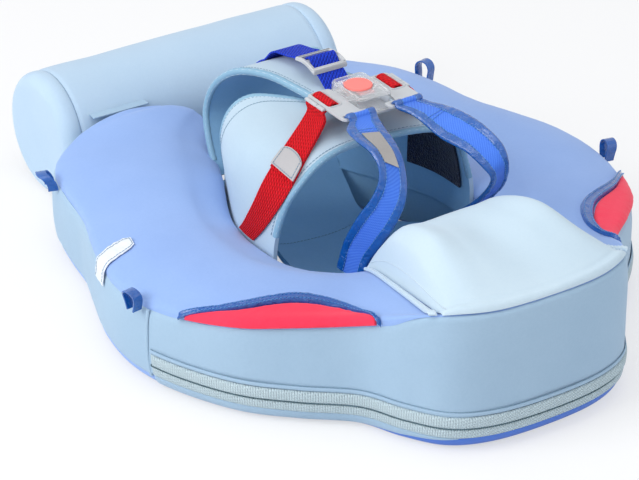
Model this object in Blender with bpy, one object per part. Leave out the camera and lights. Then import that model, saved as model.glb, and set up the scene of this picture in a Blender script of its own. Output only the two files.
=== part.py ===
"""A baby swim ring: a foam horseshoe with a chest pad, a tail bolster and a five-point vest.

The nose points along -Y, the tail along +Y, and side A is at -X. The origin is on the floor, under the
middle of the whole ring. Lengths are in metres. A table named ..._SHARES holds shares of the sizes that
its rows follow.
"""
import math

import bpy
import bmesh
from mathutils import Vector

MILLIMETRE = 0.001
SIDES = (("a", -1), ("b", 1))

# Ring body
HALF_WIDTH = 0.238
NOSE_REACH = 0.287
ARM_REACH = 0.2345
HOLE_HALF_WIDTH = 0.103
HOLE_NOSE_REACH = 0.104
HOLE_TAIL_SHARE = 0.904
HOLE_TAIL_REACH = ARM_REACH * HOLE_TAIL_SHARE
SIDE_HEIGHT = 0.077
NOSE_HEIGHT = 0.125
HOLE_EDGE_HEIGHT = 0.081
CROWN = 0.013
WALL_BULGE = 0.002
FOOT_RADIUS = 0.018
SEAM_ROLL = 0.008
HOLE_ROLL = 0.014
COVER_THICKNESS = 0.0025
CLEARANCE = 0.0003
SEAT_GAP = 0.0006
RING_STEPS = 44

# Trim on the ring
PAD_RISE = 0.055
PAD_SKIN = 0.0022
PAD_BINDING_WIDTH = 0.0034
PANEL_THICKNESS = 0.0012
PANEL_LIFT = 0.0007
BINDING_HEIGHT = 0.0026
ZIP_TAPE_WIDTH = 0.0085
ZIP_TAPE_THICKNESS = 0.0010
ZIP_TEETH_WIDTH = 0.0036
ZIP_TEETH_HEIGHT = 0.0022
ZIP_HEIGHT = 0.0235
LOOP_GAUGE = 0.0016
LOOP_STRIP = 0.009
LOOP_HALF_SPAN = 0.0085
LOOP_RISE = 0.0125
LOOP_DROP = 0.007
LOOP_STANDOFF = 0.0003
TAG_WIDTH = 0.013

# Tail bolster
BOLSTER_RADIUS = 0.0575
BOLSTER_HALF_LENGTH = 0.150
BOLSTER_ROUNDING = 0.012
BOLSTER_FACETS = 28
BOLSTER_FLAT_SHARE = 0.3
TAB_HALF_LENGTH = 0.028
TAB_CENTRE = 0.092
TAB_THICKNESS = 0.0012
TAIL_RISE_SHARE = 0.28

# Vest
HARNESS_HEIGHT = 0.170
VEST_THICKNESS = 0.004
FLAP_THICKNESS = 0.005
WING_SEAT_HEIGHT = 0.046
WING_B_DROP = 0.009
WING_B_SETBACK = 0.010
STRAP_THICKNESS = 0.003
WEBBING_THICKNESS = 0.0014
WEBBING_STANDOFF = 0.0009
CROTCH_WEBBING_WIDTH = 0.026

# Buckle
BUCKLE_X = 0.005
BUCKLE_Y = -0.001
HOUSING_HALF_WIDTH = 0.017
HOUSING_HALF_LENGTH = 0.0235
HOUSING_LEAD = 0.0045
HOUSING_HEIGHT = 0.0165
HOUSING_DISH = 0.0012
HOUSING_WALL = 0.0018
HOUSING_CORNER = 0.006
BASE_THICKNESS = 0.0016
BASE_LIP = 0.0012
BUTTON_RADIUS = 0.0122
BUTTON_PROUD = 0.0010
BUTTON_THICKNESS = 0.0022
BUTTON_TRAVEL = 0.0025
BUTTON_GAP = 0.0005
BUTTON_FACETS = 40
BUTTON_EDGE_SHARE = 0.3
STEM_SHARES = (0.7, 0.85)
EAR_HALF_WIDTH = 0.0070
EAR_REACH = 0.0020
BLADE_HEIGHT = 0.0070
BLADE_THICKNESS = 0.0025
BLADE_HALF_WIDTH = 0.011
BLADE_DEPTH = 0.0088
LATCH_HEIGHT = BASE_THICKNESS + BUTTON_TRAVEL + CLEARANCE * 3
LATCH_THICKNESS = 0.0012
POST_PLACE_SHARE = 0.8
TOOTH_WIDTH_SHARE = 0.35
TOOTH_DEPTH_SHARE = 0.55
SPRING_RADIUS = 0.0045
SPRING_WIRE = 0.0005
SPRING_TURNS = 5
SPRING_STEPS = 10
SPRING_SIDES = 6
LUG_LENGTH = 0.009
LUG_TAPER_SHARE = 0.85
LUG_BEND_SHARE = 0.7
LUG_SLOT_SHARES = (0.25, 0.6)

# Tongues and ladder lock
TONGUE_REACH = 0.0235
TONGUE_REAR = 0.0177
TONGUE_FRONT = 0.0405
TONGUE_NECK = 0.0092
TONGUE_BAR = 0.0032
TONGUE_SLOT = 0.0046
WINDOW_LENGTH = 0.027
EDGE_BEVEL = 0.0005
GRIP_LENGTH = 0.027
GRIP_SIZE = 0.0034
GRIP_NOTCH_SHARE = 0.36
LOCK_HALF_WIDTH = 0.0175
LOCK_BAR = 0.0040
LOCK_WINDOW = 0.0088
LOCK_THICKNESS = 0.0032
LOCK_DISTANCE = 0.057
LOCK_LIFT = 0.0175
LOCK_BOW = 0.0026
LOCK_DROP = 0.0020

# Outer edge of the ring from nose to arm end: share of HALF_WIDTH, and of NOSE_REACH or ARM_REACH
RING_EDGE_SHARES = (
    (0.000, -1.000), (0.208, -0.986), (0.354, -0.934), (0.450, -0.829), (0.529, -0.704),
    (0.688, -0.592), (0.833, -0.467), (0.950, -0.279), (1.000, -0.105), (0.983, 0.085),
    (0.925, 0.277), (0.867, 0.448), (0.833, 0.640), (0.790, 0.808), (0.715, 0.908),
    (0.583, 0.976), (0.417, 1.000), (0.280, 0.999), (0.190, 0.985),
)
# Edge of the hole at the same stations: share of HOLE_HALF_WIDTH, and of HOLE_NOSE_REACH or HOLE_TAIL_REACH
HOLE_EDGE_SHARES = (
    (0.000, -1.000), (0.272, -0.990), (0.485, -0.942), (0.621, -0.904), (0.728, -0.837),
    (0.835, -0.750), (0.913, -0.635), (0.971, -0.481), (1.000, -0.269), (1.000, 0.000),
    (0.951, 0.142), (0.854, 0.264), (0.728, 0.392), (0.602, 0.519), (0.505, 0.637),
    (0.417, 0.755), (0.340, 0.849), (0.285, 0.915), (0.252, 0.965),
)
# Seam height between SIDE_HEIGHT and NOSE_HEIGHT, and crown as a share of CROWN, at the same stations
RING_RISE_SHARES = (
    (1.00, 0.0), (0.99, 0.0), (0.97, 0.0), (0.78, 0.1), (0.48, 0.3),
    (0.36, 0.6), (0.22, 0.8), (0.06, 0.9), (0.00, 1.0), (0.00, 1.0),
    (0.00, 1.0), (0.00, 1.0), (0.00, 1.0), (0.00, 1.0), (0.04, 0.9),
    (0.18, 0.7), (0.30, 0.5), (0.26, 0.4), (0.14, 0.3),
)
# Places in the ring's section, by corner number
FOOT_SEAM, TOP_SEAM, HOLE_SEAM, HOLE_FOOT = 2, 6, 14, 16
# Stations along each half of the ring, as shares of the way from the nose to the arm end
PAD_SPAN_SHARE = 0.122
CRESCENT_NOSE_SHARE = 0.215
CRESCENT_SIDE_SHARE = 0.385
CRESCENT_DEPTH_SHARE = 2.0
CRESCENT_END_SHARE = 0.03
CRESCENT_BINDING_SHARE = 0.22
CRESCENT_GAP_SHARES = (0.12, 0.1)
ZIP_SPAN_SHARE = 0.411
LOOP_PLACE_SHARES = (("rear", 0.700), ("front", 0.428))
TAG_PLACE_SHARE = 0.512
TAG_CORNERS = (4.6, 5.0, 5.5, 6.0, 6.5, 7.0, 7.6)
LOOP_STEP_SHARE = 0.01
WING_PLACE_SHARES = (0.722, 0.606, 0.522, 0.424)
SLING_SPAN_SHARE = 0.100
PAD_BINDING_SHARE = 0.006
STRAP_PLACE_SHARE = 0.118
# Pad rise as a share of PAD_RISE: rows run from the nose seam to the hole, columns from the middle out
PAD_ROW_SHARES = (6.05, 7.0, 8.0, 9.0, 10.0, 11.0, 12.0, 12.7)
PAD_COLUMN_SHARES = (0.0, 0.35, 0.65, 0.87, 1.0)
PAD_GRID_SHARES = (0.0, 0.17, 0.35, 0.5, 0.65, 0.76, 0.87, 0.94, 1.0)
PAD_RISE_SHARES = (
    (0.02, 0.02, 0.02, 0.02, 0.0),
    (0.11, 0.13, 0.13, 0.09, 0.0),
    (0.36, 0.43, 0.47, 0.32, 0.0),
    (0.58, 0.70, 0.79, 0.54, 0.0),
    (0.73, 0.76, 0.78, 0.55, 0.0),
    (0.65, 0.63, 0.60, 0.40, 0.0),
    (0.41, 0.38, 0.31, 0.22, 0.0),
    (0.11, 0.10, 0.10, 0.08, 0.0),
)
# The vest's places are shares of HOLE_HALF_WIDTH (outward), HOLE_NOSE_REACH (tailward), HARNESS_HEIGHT
WING_SHARES = (
    ((0.641, 0.990, 0.694), (0.592, 0.933, 0.835), (0.466, 0.827, 0.915), (0.291, 0.596, 0.938),
     (0.058, 0.288, 0.940)),
    ((0.874, 0.529, 0.706), (0.777, 0.481, 0.847), (0.583, 0.423, 0.915), (0.350, 0.308, 0.938),
     (-0.020, 0.135, 0.940)),
    ((0.942, 0.077, 0.706), (0.845, 0.038, 0.841), (0.650, -0.019, 0.910), (0.388, -0.077, 0.935),
     (-0.078, -0.096, 0.938)),
    ((0.893, -0.375, 0.659), (0.796, -0.433, 0.788), (0.621, -0.442, 0.882), (0.388, -0.418, 0.918),
     (-0.078, -0.346, 0.920)),
)
# Sling and flap rows: half width, tailward place, height, and how far the sides lift
SLING_SHARES = (
    (0.563, -0.865, 0.265, 0.059), (0.690, -0.700, 0.165, 0.141), (0.757, -0.337, 0.106, 0.176),
    (0.602, 0.115, 0.100, 0.094), (0.485, 0.529, 0.124, 0.035), (0.466, 0.913, 0.200, 0.010),
    (0.456, 1.192, 0.341, 0.0),
)
FLAP_SHARES = (
    (0.456, 1.225, 0.365, 0.0), (0.476, 1.404, 0.518, 0.0), (0.485, 1.510, 0.671, 0.0),
    (0.466, 1.423, 0.829, 0.0), (0.408, 1.173, 0.953, 0.0), (0.320, 0.827, 1.006, 0.0),
    (0.243, 0.462, 1.003, 0.0), (0.199, 0.020, 1.000, 0.0),
)
# Shoulder straps: the inner edge and the outer edge after the tongue; outward, tailward, height
STRAP_A_SHARES = (
    ((0.437, -0.625, 1.060), (0.080, -0.655, 1.050)), ((0.427, -0.817, 1.053), (0.175, -0.889, 1.026)),
    ((0.437, -1.000, 1.047), (0.243, -1.101, 1.003)), ((0.447, -1.067, 1.012), (0.311, -1.200, 0.918)),
    ((0.456, -1.058, 0.924), (0.359, -1.190, 0.829)), ((0.476, -0.962, 0.818), (0.360, -1.110, 0.700)),
    ((0.495, -0.822, 0.700), (0.398, -0.930, 0.560)), ((0.515, -0.601, 0.500), (0.440, -0.880, 0.460)),
)
STRAP_B_SHARES = (
    ((0.214, -0.577, 1.050), (0.500, -0.577, 1.060)), ((0.262, -0.856, 1.000), (0.520, -0.750, 1.082)),
    ((0.330, -1.111, 0.979), (0.530, -1.048, 1.085)), ((0.388, -1.274, 0.924), (0.560, -1.279, 1.035)),
    ((0.447, -1.300, 0.866), (0.590, -1.340, 0.944)), ((0.540, -1.140, 0.750), (0.670, -1.200, 0.780)),
    ((0.560, -0.930, 0.610), (0.680, -0.980, 0.620)), ((0.515, -0.700, 0.500), (0.560, -0.850, 0.480)),
)
# Hump of the crotch webbing between the flap and the ladder lock: tailward place and height
WEBBING_HUMP_SHARES = ((1.130, 1.020), (1.060, 1.044), (0.960, 1.058), (0.860, 1.070))
# First and last row of the flap under the webbing, and where the webbing passes a window of the lock
WEBBING_ROW_SHARES = (2.6, 3.9)
LOCK_PASS_SHARES = (0.12, 0.88)
# Columns and rows on a wing's own grid
WEBBING_ROUTE_SHARES = (
    (1.20, 2.22), (1.60, 2.36), (2.00, 2.46), (2.50, 2.50), (3.00, 2.50), (3.40, 2.45), (3.80, 2.36),
)
WEBBING_HALF_WIDTH_SHARE = 0.34
BAND_SHARES = (-1.0, -0.5, 0.0, 0.5, 1.0)
TAB_ROUTE_SHARES = ((2.75, 2.50), (3.00, 2.50), (3.25, 2.47))
PATCH_ROW_SHARES = (1.7, 2.85)
PATCH_COLUMN_SHARES = (1.3, 3.4)


def all_tail_axis():
    """Place of the bolster's axis behind the arms."""
    return ARM_REACH + WALL_BULGE * 0.7 + SEAT_GAP + BOLSTER_RADIUS


def tail_hinge_height():
    """Height of the fabric hinge between the arms and the bolster."""
    return mix(SIDE_HEIGHT, NOSE_HEIGHT, TAIL_RISE_SHARE)


def middle_of_ring():
    """Tailward place of the middle of the whole ring, nose to bolster."""
    return (all_tail_axis() + BOLSTER_RADIUS - NOSE_REACH - WALL_BULGE) / 2


def clear_scene():
    """Remove what the file held before."""
    for item in list(bpy.data.objects):
        bpy.data.objects.remove(item)


def finish(name, colour, roughness=0.7, metallic=0.0, alpha=1.0):
    """A plain material of one colour."""
    material = bpy.data.materials.new(name)
    material.use_nodes = True
    shader = material.node_tree.nodes["Principled BSDF"]
    shader.inputs["Base Color"].default_value = (*colour, 1.0)
    shader.inputs["Roughness"].default_value = roughness
    shader.inputs["Metallic"].default_value = metallic
    shader.inputs["Alpha"].default_value = alpha
    return material


def body_empty(name, place, parent=None):
    """An empty that carries the pieces of one moving body, on its joint's axis."""
    empty = bpy.data.objects.new(name, None)
    bpy.context.collection.objects.link(empty)
    empty.empty_display_size = COVER_THICKNESS
    if parent is None:
        empty.location = place
    else:
        empty.parent = parent
        empty.location = Vector(place)
    return empty


def mesh_object(name, points, faces, material, body, sharp_angle=40):
    """An object of one closed mesh with its faces out, carried by a body's empty."""
    mesh = bpy.data.meshes.new(name)
    mesh.from_pydata([tuple(p) for p in points], [], faces)
    work = bmesh.new()
    work.from_mesh(mesh)
    bmesh.ops.recalc_face_normals(work, faces=work.faces)
    work.to_mesh(mesh)
    work.free()
    mesh.shade_smooth()
    mesh.set_sharp_from_angle(angle=math.radians(sharp_angle))
    mesh.materials.append(material)
    piece = bpy.data.objects.new(name, mesh)
    bpy.context.collection.objects.link(piece)
    carry(piece, body)
    return piece


def carry(piece, body):
    """Parent a piece to a body's empty; its mesh is drawn in the ring's frame."""
    piece.parent = body
    if body.parent is not None:
        piece.location = -body.location


def smooth(rows, position):
    """Value of a table at a place counted in rows, on a smooth curve through the rows."""
    last = len(rows) - 1
    position = min(max(position, 0.0), float(last))
    start = min(int(position), last - 1)
    t = position - start
    one, two = rows[start], rows[start + 1]
    before = rows[start - 1] if start else [2 * a - b for a, b in zip(one, two)]
    after = rows[start + 2] if start + 2 <= last else [2 * b - a for a, b in zip(one, two)]
    return [
        0.5 * (2 * b + (c - a) * t + (2 * a - 5 * b + 4 * c - d) * t ** 2 + (3 * b - 3 * c + d - a) * t ** 3)
        for a, b, c, d in zip(before, one, two, after)
    ]


def mix(one, two, share):
    """A point on the line between two points."""
    return one + (two - one) * share


def spread(first, last, count):
    """Evenly spaced values from first to last."""
    return [first + (last - first) * i / (count - 1) for i in range(count)]


def strip_faces(rows, columns, flip=False, wrap=False, start=0):
    """Triangles over a grid of points, all cut along the same diagonal."""
    faces = []
    for i in range(rows - 1):
        for j in range(columns if wrap else columns - 1):
            a, b = start + i * columns + j, start + i * columns + (j + 1) % columns
            c, d = b + columns, a + columns
            faces += [(a, c, b), (a, d, c)] if flip else [(a, b, c), (a, c, d)]
    return faces


def solid_between(name, front, back, material, body, sharp_angle=40):
    """A closed solid between two grids of points of the same size."""
    rows, columns = len(front), len(front[0])
    half = rows * columns
    points = [p for row in front for p in row] + [p for row in back for p in row]
    faces = strip_faces(rows, columns) + strip_faces(rows, columns, flip=True, start=half)
    rim = [j for j in range(columns)]
    rim += [i * columns + columns - 1 for i in range(1, rows)]
    rim += [(rows - 1) * columns + j for j in range(columns - 2, -1, -1)]
    rim += [i * columns for i in range(rows - 2, 0, -1)]
    for k, a in enumerate(rim):
        b = rim[(k + 1) % len(rim)]
        faces += [(b, a, a + half), (b, a + half, b + half)]
    return mesh_object(name, points, faces, material, body, sharp_angle)


def solid_through(name, loops, material, body, sharp_angle=40):
    """A closed solid through a row of closed loops, with flat ends."""
    columns = len(loops[0])
    points = [p for loop in loops for p in loop]
    faces = strip_faces(len(loops), columns, wrap=True)
    faces.append(tuple(reversed(range(columns))))
    faces.append(tuple(range(len(points) - columns, len(points))))
    return mesh_object(name, points, faces, material, body, sharp_angle)


def grid_normals(grid):
    """Unit normals of a grid of points."""
    rows, columns = len(grid), len(grid[0])
    normals = []
    for i in range(rows):
        line = []
        for j in range(columns):
            down = grid[min(i + 1, rows - 1)][j] - grid[max(i - 1, 0)][j]
            across = grid[i][min(j + 1, columns - 1)] - grid[i][max(j - 1, 0)]
            line.append(down.cross(across).normalized())
        normals.append(line)
    return normals


def lifted(grid, distance):
    """A grid moved along its own normals."""
    normals = grid_normals(grid)
    return [[p + n * distance for p, n in zip(row, line)] for row, line in zip(grid, normals)]


def sheet(name, grid, thickness, material, body, lift=0.0):
    """A closed sheet of one thickness about a grid of points."""
    half = thickness / 2
    return solid_between(name, lifted(grid, lift + half), lifted(grid, lift - half), material, body)


def mirrored_rows(rows):
    """A half table of (outward, ...) rows, made whole for both sides, side A first."""
    return [(-row[0], *row[1:]) for row in reversed(rows[1:])] + list(rows)


def scaled_edge(shares, half_width, nose_reach, tail_reach):
    """Plan points of an edge from its shares."""
    return [(x * half_width, y * (nose_reach if y < 0 else tail_reach)) for x, y in shares]


def ring_stations():
    """The ring's stations from arm end A to arm end B: outer point, inward direction, width, seam, crown."""
    outer = mirrored_rows(scaled_edge(RING_EDGE_SHARES, HALF_WIDTH, NOSE_REACH, ARM_REACH))
    inner = mirrored_rows(scaled_edge(HOLE_EDGE_SHARES, HOLE_HALF_WIDTH, HOLE_NOSE_REACH, HOLE_TAIL_REACH))
    rise = list(reversed(RING_RISE_SHARES[1:])) + list(RING_RISE_SHARES)
    stations = []
    for step in range(RING_STEPS + 1):
        place = step * (len(outer) - 1) / RING_STEPS
        edge, hole = Vector((*smooth(outer, place), 0)), Vector((*smooth(inner, place), 0))
        seam_share, crown_share = smooth(rise, place)
        seam = SIDE_HEIGHT + (NOSE_HEIGHT - SIDE_HEIGHT) * seam_share
        stations.append((edge, (hole - edge).normalized(), (hole - edge).length, seam, CROWN * crown_share))
    return stations


def section_corners(width, seam, crown):
    """Corners of the ring's section: distance in from the outer edge, and height."""
    foot = min(FOOT_RADIUS, width * 0.35)
    roll = min(SEAM_ROLL, width * 0.12)
    lip = min(HOLE_ROLL, width * 0.11)
    rise = HOLE_EDGE_HEIGHT - seam

    def top(distance, crown_share):
        return distance, seam + rise * distance / width + crown * crown_share

    return [
        (foot, 0.0), (foot * 0.42, foot * 0.14), (foot * 0.1, foot * 0.6),
        (-WALL_BULGE * 0.5, foot * 1.3), (-WALL_BULGE, seam * 0.6), (-WALL_BULGE * 0.4, seam * 0.86),
        (roll * 0.35, seam), top(roll * 1.8, 0.42), top(width * 0.28, 0.85), top(width * 0.5, 1.0),
        top(width * 0.74, 0.82), top(width - lip * 2.2, 0.45),
        (width - lip * 0.9, HOLE_EDGE_HEIGHT - lip * 0.04),
        (width - lip * 0.15, HOLE_EDGE_HEIGHT - lip * 0.45), (width, HOLE_EDGE_HEIGHT - lip * 1.3),
        (width, foot), (width - foot * 0.2, foot * 0.3), (width - foot, 0.0),
    ]


def inset_corners(corners, distance):
    """A closed row of corners moved inward, each side by the same distance."""
    moved = []
    for k, here in enumerate(corners):
        before, after = Vector(corners[k - 1]), Vector(corners[(k + 1) % len(corners)])
        here = Vector(here)
        one, two = (here - before).normalized(), (after - here).normalized()
        inward_one, inward_two = Vector((one.y, -one.x)), Vector((two.y, -two.x))
        mitre = (inward_one + inward_two).normalized()
        moved.append(here + mitre * (distance / max(mitre.dot(inward_one), 0.5)))
    return moved


def ring_section(station, inset):
    """One station's section in space, inset from the covers' outer face."""
    edge, inward, width, seam, crown = station
    corners = inset_corners(section_corners(width, seam, crown), inset)
    return [edge + inward * c.x + Vector((0, 0, c.y)) for c in corners]


def section_at(stations, share, inset):
    """The section at a share of the way round: -1 is arm end A, 0 the nose, 1 arm end B."""
    place = (share + 1) * RING_STEPS / 2
    start = min(max(int(place), 0), RING_STEPS - 1)
    one, two = ring_section(stations[start], inset), ring_section(stations[start + 1], inset)
    return [mix(a, b, place - start) for a, b in zip(one, two)]


def on_section(section, number):
    """A point between two corners of a section."""
    low = int(number)
    return mix(section[low], section[(low + 1) % len(section)], number - low)


def ring_patch(stations, shares, numbers, lift):
    """Points over part of the ring's skin; numbers(share) gives the corners that a row runs through."""
    return [[on_section(section_at(stations, s, -lift), n) for n in numbers(s)] for s in shares]


def ring_skin(name, stations, corners, material, body):
    """One fabric panel of the ring's cover, between two seams."""
    fronts, backs = [], []
    for station in stations:
        front = [ring_section(station, 0.0)[c] for c in corners]
        back = [ring_section(station, COVER_THICKNESS)[c] for c in corners]
        for row in (front, back):
            row[0] = row[0] + (row[1] - row[0]).normalized() * CLEARANCE / 2
            row[-1] = row[-1] + (row[-2] - row[-1]).normalized() * CLEARANCE / 2
        fronts.append(front)
        backs.append(back)
    return solid_between(name, fronts, backs, material, body)


def arm_end_panel(name, stations, last, material, body):
    """The panel that closes the end of one arm."""
    station, neighbour = (stations[-1], stations[-2]) if last else (stations[0], stations[1])
    inward = station[1]
    away = Vector((-inward.y, inward.x, 0))
    if away.dot(station[0] - neighbour[0]) < 0:
        away = -away
    steps = ((0.0, CLEARANCE), (0.0, COVER_THICKNESS * 0.5), (COVER_THICKNESS * 0.8, COVER_THICKNESS))
    loops = [[p + away * out for p in ring_section(station, inset)] for inset, out in steps]
    return solid_through(name, loops, material, body)


def build_ring(stations, body, looks):
    """Foam, covers and arm ends."""
    core = [ring_section(station, COVER_THICKNESS + CLEARANCE) for station in stations]
    solid_through("foam_core", core, looks["foam"], body)
    ring_skin("top_cover", stations, range(TOP_SEAM, HOLE_SEAM + 1), looks["periwinkle"], body)
    ring_skin("side_band", stations, range(FOOT_SEAM, TOP_SEAM + 1), looks["pale_blue"], body)
    ring_skin("hole_lining", stations, range(HOLE_SEAM, HOLE_FOOT + 1), looks["lining"], body)
    under = (HOLE_FOOT, HOLE_FOOT + 1, 0, 1, FOOT_SEAM)
    ring_skin("bottom_panel", stations, under, looks["periwinkle"], body)
    for side, last in (("a", False), ("b", True)):
        arm_end_panel(f"arm_end_panel_{side}", stations, last, looks["periwinkle"], body)


def pad_rise(row, column):
    """Rise of the pad above the ring at a row and a signed column share."""
    rows = [smooth(PAD_RISE_SHARES, row)]
    reach = abs(column)
    for k in range(len(PAD_COLUMN_SHARES) - 1):
        low, high = PAD_COLUMN_SHARES[k], PAD_COLUMN_SHARES[k + 1]
        if reach <= high:
            place = k + (reach - low) / (high - low)
            break
    return max(smooth([(v,) for v in rows[0]], place)[0] * PAD_RISE, 0.0) + PAD_SKIN


def build_pad(stations, body, looks):
    """The chest pad: a foam block with two shoulders and a scoop, under its own cover."""
    columns = [-c for c in reversed(PAD_GRID_SHARES[1:])] + list(PAD_GRID_SHARES)
    rows = spread(0, len(PAD_ROW_SHARES) - 1, 15)
    base, crest = [], []
    for row in rows:
        number = smooth([(n,) for n in PAD_ROW_SHARES], row)[0]
        low = [on_section(section_at(stations, c * PAD_SPAN_SHARE, -SEAT_GAP), number) for c in columns]
        base.append(low)
        crest.append([p + Vector((0, 0, pad_rise(row, c))) for p, c in zip(low, columns)])
    skin = Vector((0, 0, PAD_SKIN))
    under = [[p - skin for p in row] for row in crest]
    solid_between("chest_pad_cover", crest, under, looks["ice_blue"], body, 60)
    gap = Vector((0, 0, CLEARANCE + SEAT_GAP))
    inner_top = [[p - gap for p in row[1:-1]] for row in under[1:-1]]
    inner_base = [row[1:-1] for row in base[1:-1]]
    solid_between("chest_pad_foam", inner_top, inner_base, looks["foam"], body, 60)
    for side, sign in SIDES:
        numbers = PAD_ROW_SHARES[:-1]
        place = PAD_SPAN_SHARE + PAD_BINDING_SHARE
        shares = [sign * place, sign * (place + PAD_BINDING_WIDTH / (HALF_WIDTH + HOLE_NOSE_REACH))]
        lows = ring_patch(stations, shares, lambda s: numbers, SEAT_GAP)
        highs = ring_patch(stations, shares, lambda s: numbers, SEAT_GAP + BINDING_HEIGHT)
        solid_between(f"pad_binding_{side}", highs, lows, looks["ice_blue"], body)


def crescent_reach(share, first, last):
    """How far a red panel reaches in from the seam, in corner numbers."""
    along = min(max((share - first) / (last - first), 0.0), 1.0)
    return TOP_SEAM + 0.2 + CRESCENT_DEPTH_SHARE * math.sin(math.pi * along) ** 0.8


def build_crescent(side, sign, stations, body, looks):
    """One red panel on a front corner, and the binding along its inner edge."""
    first, last = sign * CRESCENT_NOSE_SHARE, sign * CRESCENT_SIDE_SHARE
    shares = spread(mix(first, last, CRESCENT_END_SHARE), mix(last, first, CRESCENT_END_SHARE), 13)

    def panel(share):
        reach = crescent_reach(share, first, last)
        return spread(TOP_SEAM + CRESCENT_GAP_SHARES[0], reach - CRESCENT_GAP_SHARES[1], 7)

    def binding(share):
        reach = crescent_reach(share, first, last)
        return reach, reach + CRESCENT_BINDING_SHARE

    low = ring_patch(stations, shares, panel, PANEL_LIFT)
    high = ring_patch(stations, shares, panel, PANEL_LIFT + PANEL_THICKNESS)
    solid_between(f"red_panel_{side}", high, low, looks["coral"], body)
    edge = spread(mix(first, last, -CRESCENT_END_SHARE * 2), mix(last, first, -CRESCENT_END_SHARE * 2), 17)
    low = ring_patch(stations, edge, binding, PANEL_LIFT)
    high = ring_patch(stations, edge, binding, PANEL_LIFT + BINDING_HEIGHT)
    solid_between(f"crescent_binding_{side}", high, low, looks["gloss_blue"], body)


def wall_number(section, height):
    """Corner number on the outer wall at a height."""
    for number in range(1, TOP_SEAM):
        low, high = section[number].z, section[number + 1].z
        if low <= height <= high:
            return number + (height - low) / (high - low)
    return float(TOP_SEAM)


def build_zip(stations, body, looks):
    """The zip round the nose: two tapes and the chain of teeth between them."""
    half, tape = ZIP_TEETH_WIDTH / 2, (ZIP_TAPE_WIDTH, ZIP_TAPE_THICKNESS, "sage")
    bands = (
        ("zip_tape_lower", ZIP_HEIGHT - half - CLEARANCE - ZIP_TAPE_WIDTH, *tape),
        ("zip_teeth", ZIP_HEIGHT - half, ZIP_TEETH_WIDTH, ZIP_TEETH_HEIGHT, "teal"),
        ("zip_tape_upper", ZIP_HEIGHT + half + CLEARANCE, *tape),
    )
    count = 2 * int(ZIP_SPAN_SHARE * RING_STEPS / 2) + 1
    edge = (count - 1) / RING_STEPS
    for name, low_height, width, thickness, look in bands:
        def numbers(share):
            section = section_at(stations, share, 0.0)
            return [wall_number(section, h) for h in spread(low_height, low_height + width, 3)]

        shares = spread(-edge, edge, count)
        low = ring_patch(stations, shares, numbers, CLEARANCE * 1.5)
        high = ring_patch(stations, shares, numbers, CLEARANCE * 1.5 + thickness)
        solid_between(name, high, low, looks[look], body)


def build_loop(name, share, stations, body, look):
    """A small standing fabric loop on the outer seam, for a canopy."""
    section = section_at(stations, share, -CLEARANCE * 2)
    seam = section[TOP_SEAM]
    ahead = section_at(stations, share + LOOP_STEP_SHARE, 0)[TOP_SEAM]
    along = ahead - section_at(stations, share - LOOP_STEP_SHARE, 0)[TOP_SEAM]
    along.z = 0
    along.normalize()
    out = Vector((along.y, -along.x, 0))
    if out.dot(Vector((seam.x, seam.y, 0))) < 0:
        out = -out
    centre = seam + out * (LOOP_STRIP / 2 + WALL_BULGE + LOOP_STANDOFF)
    path = [(-LOOP_HALF_SPAN, -LOOP_DROP), (-LOOP_HALF_SPAN, 0.0)]
    for turn in spread(0.0, math.pi, 7)[1:-1]:
        path.append((-LOOP_HALF_SPAN * math.cos(turn), LOOP_HALF_SPAN * math.sin(turn)))
    straight = LOOP_RISE - LOOP_HALF_SPAN
    path = [path[0], (path[1][0], straight)] + [(a, b + straight) for a, b in path[2:]]
    path += [(LOOP_HALF_SPAN, straight), (LOOP_HALF_SPAN, -LOOP_DROP)]
    half = out * (LOOP_STRIP / 2)
    line = [centre + along * a + Vector((0, 0, b)) for a, b in path]
    return sheet(name, [[p - half, p + half] for p in line], LOOP_GAUGE, look, body)


def build_trim(stations, body, looks):
    """Canopy loops and the care tag."""
    for side, sign in SIDES:
        for place, share in LOOP_PLACE_SHARES:
            build_loop(f"canopy_loop_{side}_{place}", sign * share, stations, body, looks["gloss_blue"])
    half = TAG_WIDTH / (HALF_WIDTH * 5)
    shares = spread(-TAG_PLACE_SHARE - half, -TAG_PLACE_SHARE + half, 3)
    low = ring_patch(stations, shares, lambda s: TAG_CORNERS, CLEARANCE * 2)
    high = ring_patch(stations, shares, lambda s: TAG_CORNERS, CLEARANCE * 2 + WEBBING_THICKNESS / 2)
    solid_between("care_tag", high, low, looks["white"], body)


def full_turn(count):
    """Evenly spaced angles round a circle."""
    return [2 * math.pi * k / count for k in range(count)]


def bolster_rings(profile, sign=1):
    """Rings of points about the bolster's axis, from rows of place along the axis and radius."""
    y, z = all_tail_axis(), BOLSTER_RADIUS
    turns = full_turn(BOLSTER_FACETS)
    return [[Vector((sign * x, y + r * math.cos(t), z + r * math.sin(t))) for t in turns] for x, r in profile]


def bolster_profile(inset):
    """Half profile of the bolster from its middle to its end: place along the axis, and radius."""
    length, radius, curve = BOLSTER_HALF_LENGTH - inset, BOLSTER_RADIUS - inset, BOLSTER_ROUNDING - inset
    straight = length - curve
    turns = spread(0.0, math.pi / 2, 4)
    return [(straight + curve * math.sin(a), radius - curve * (1 - math.cos(a))) for a in turns]


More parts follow.
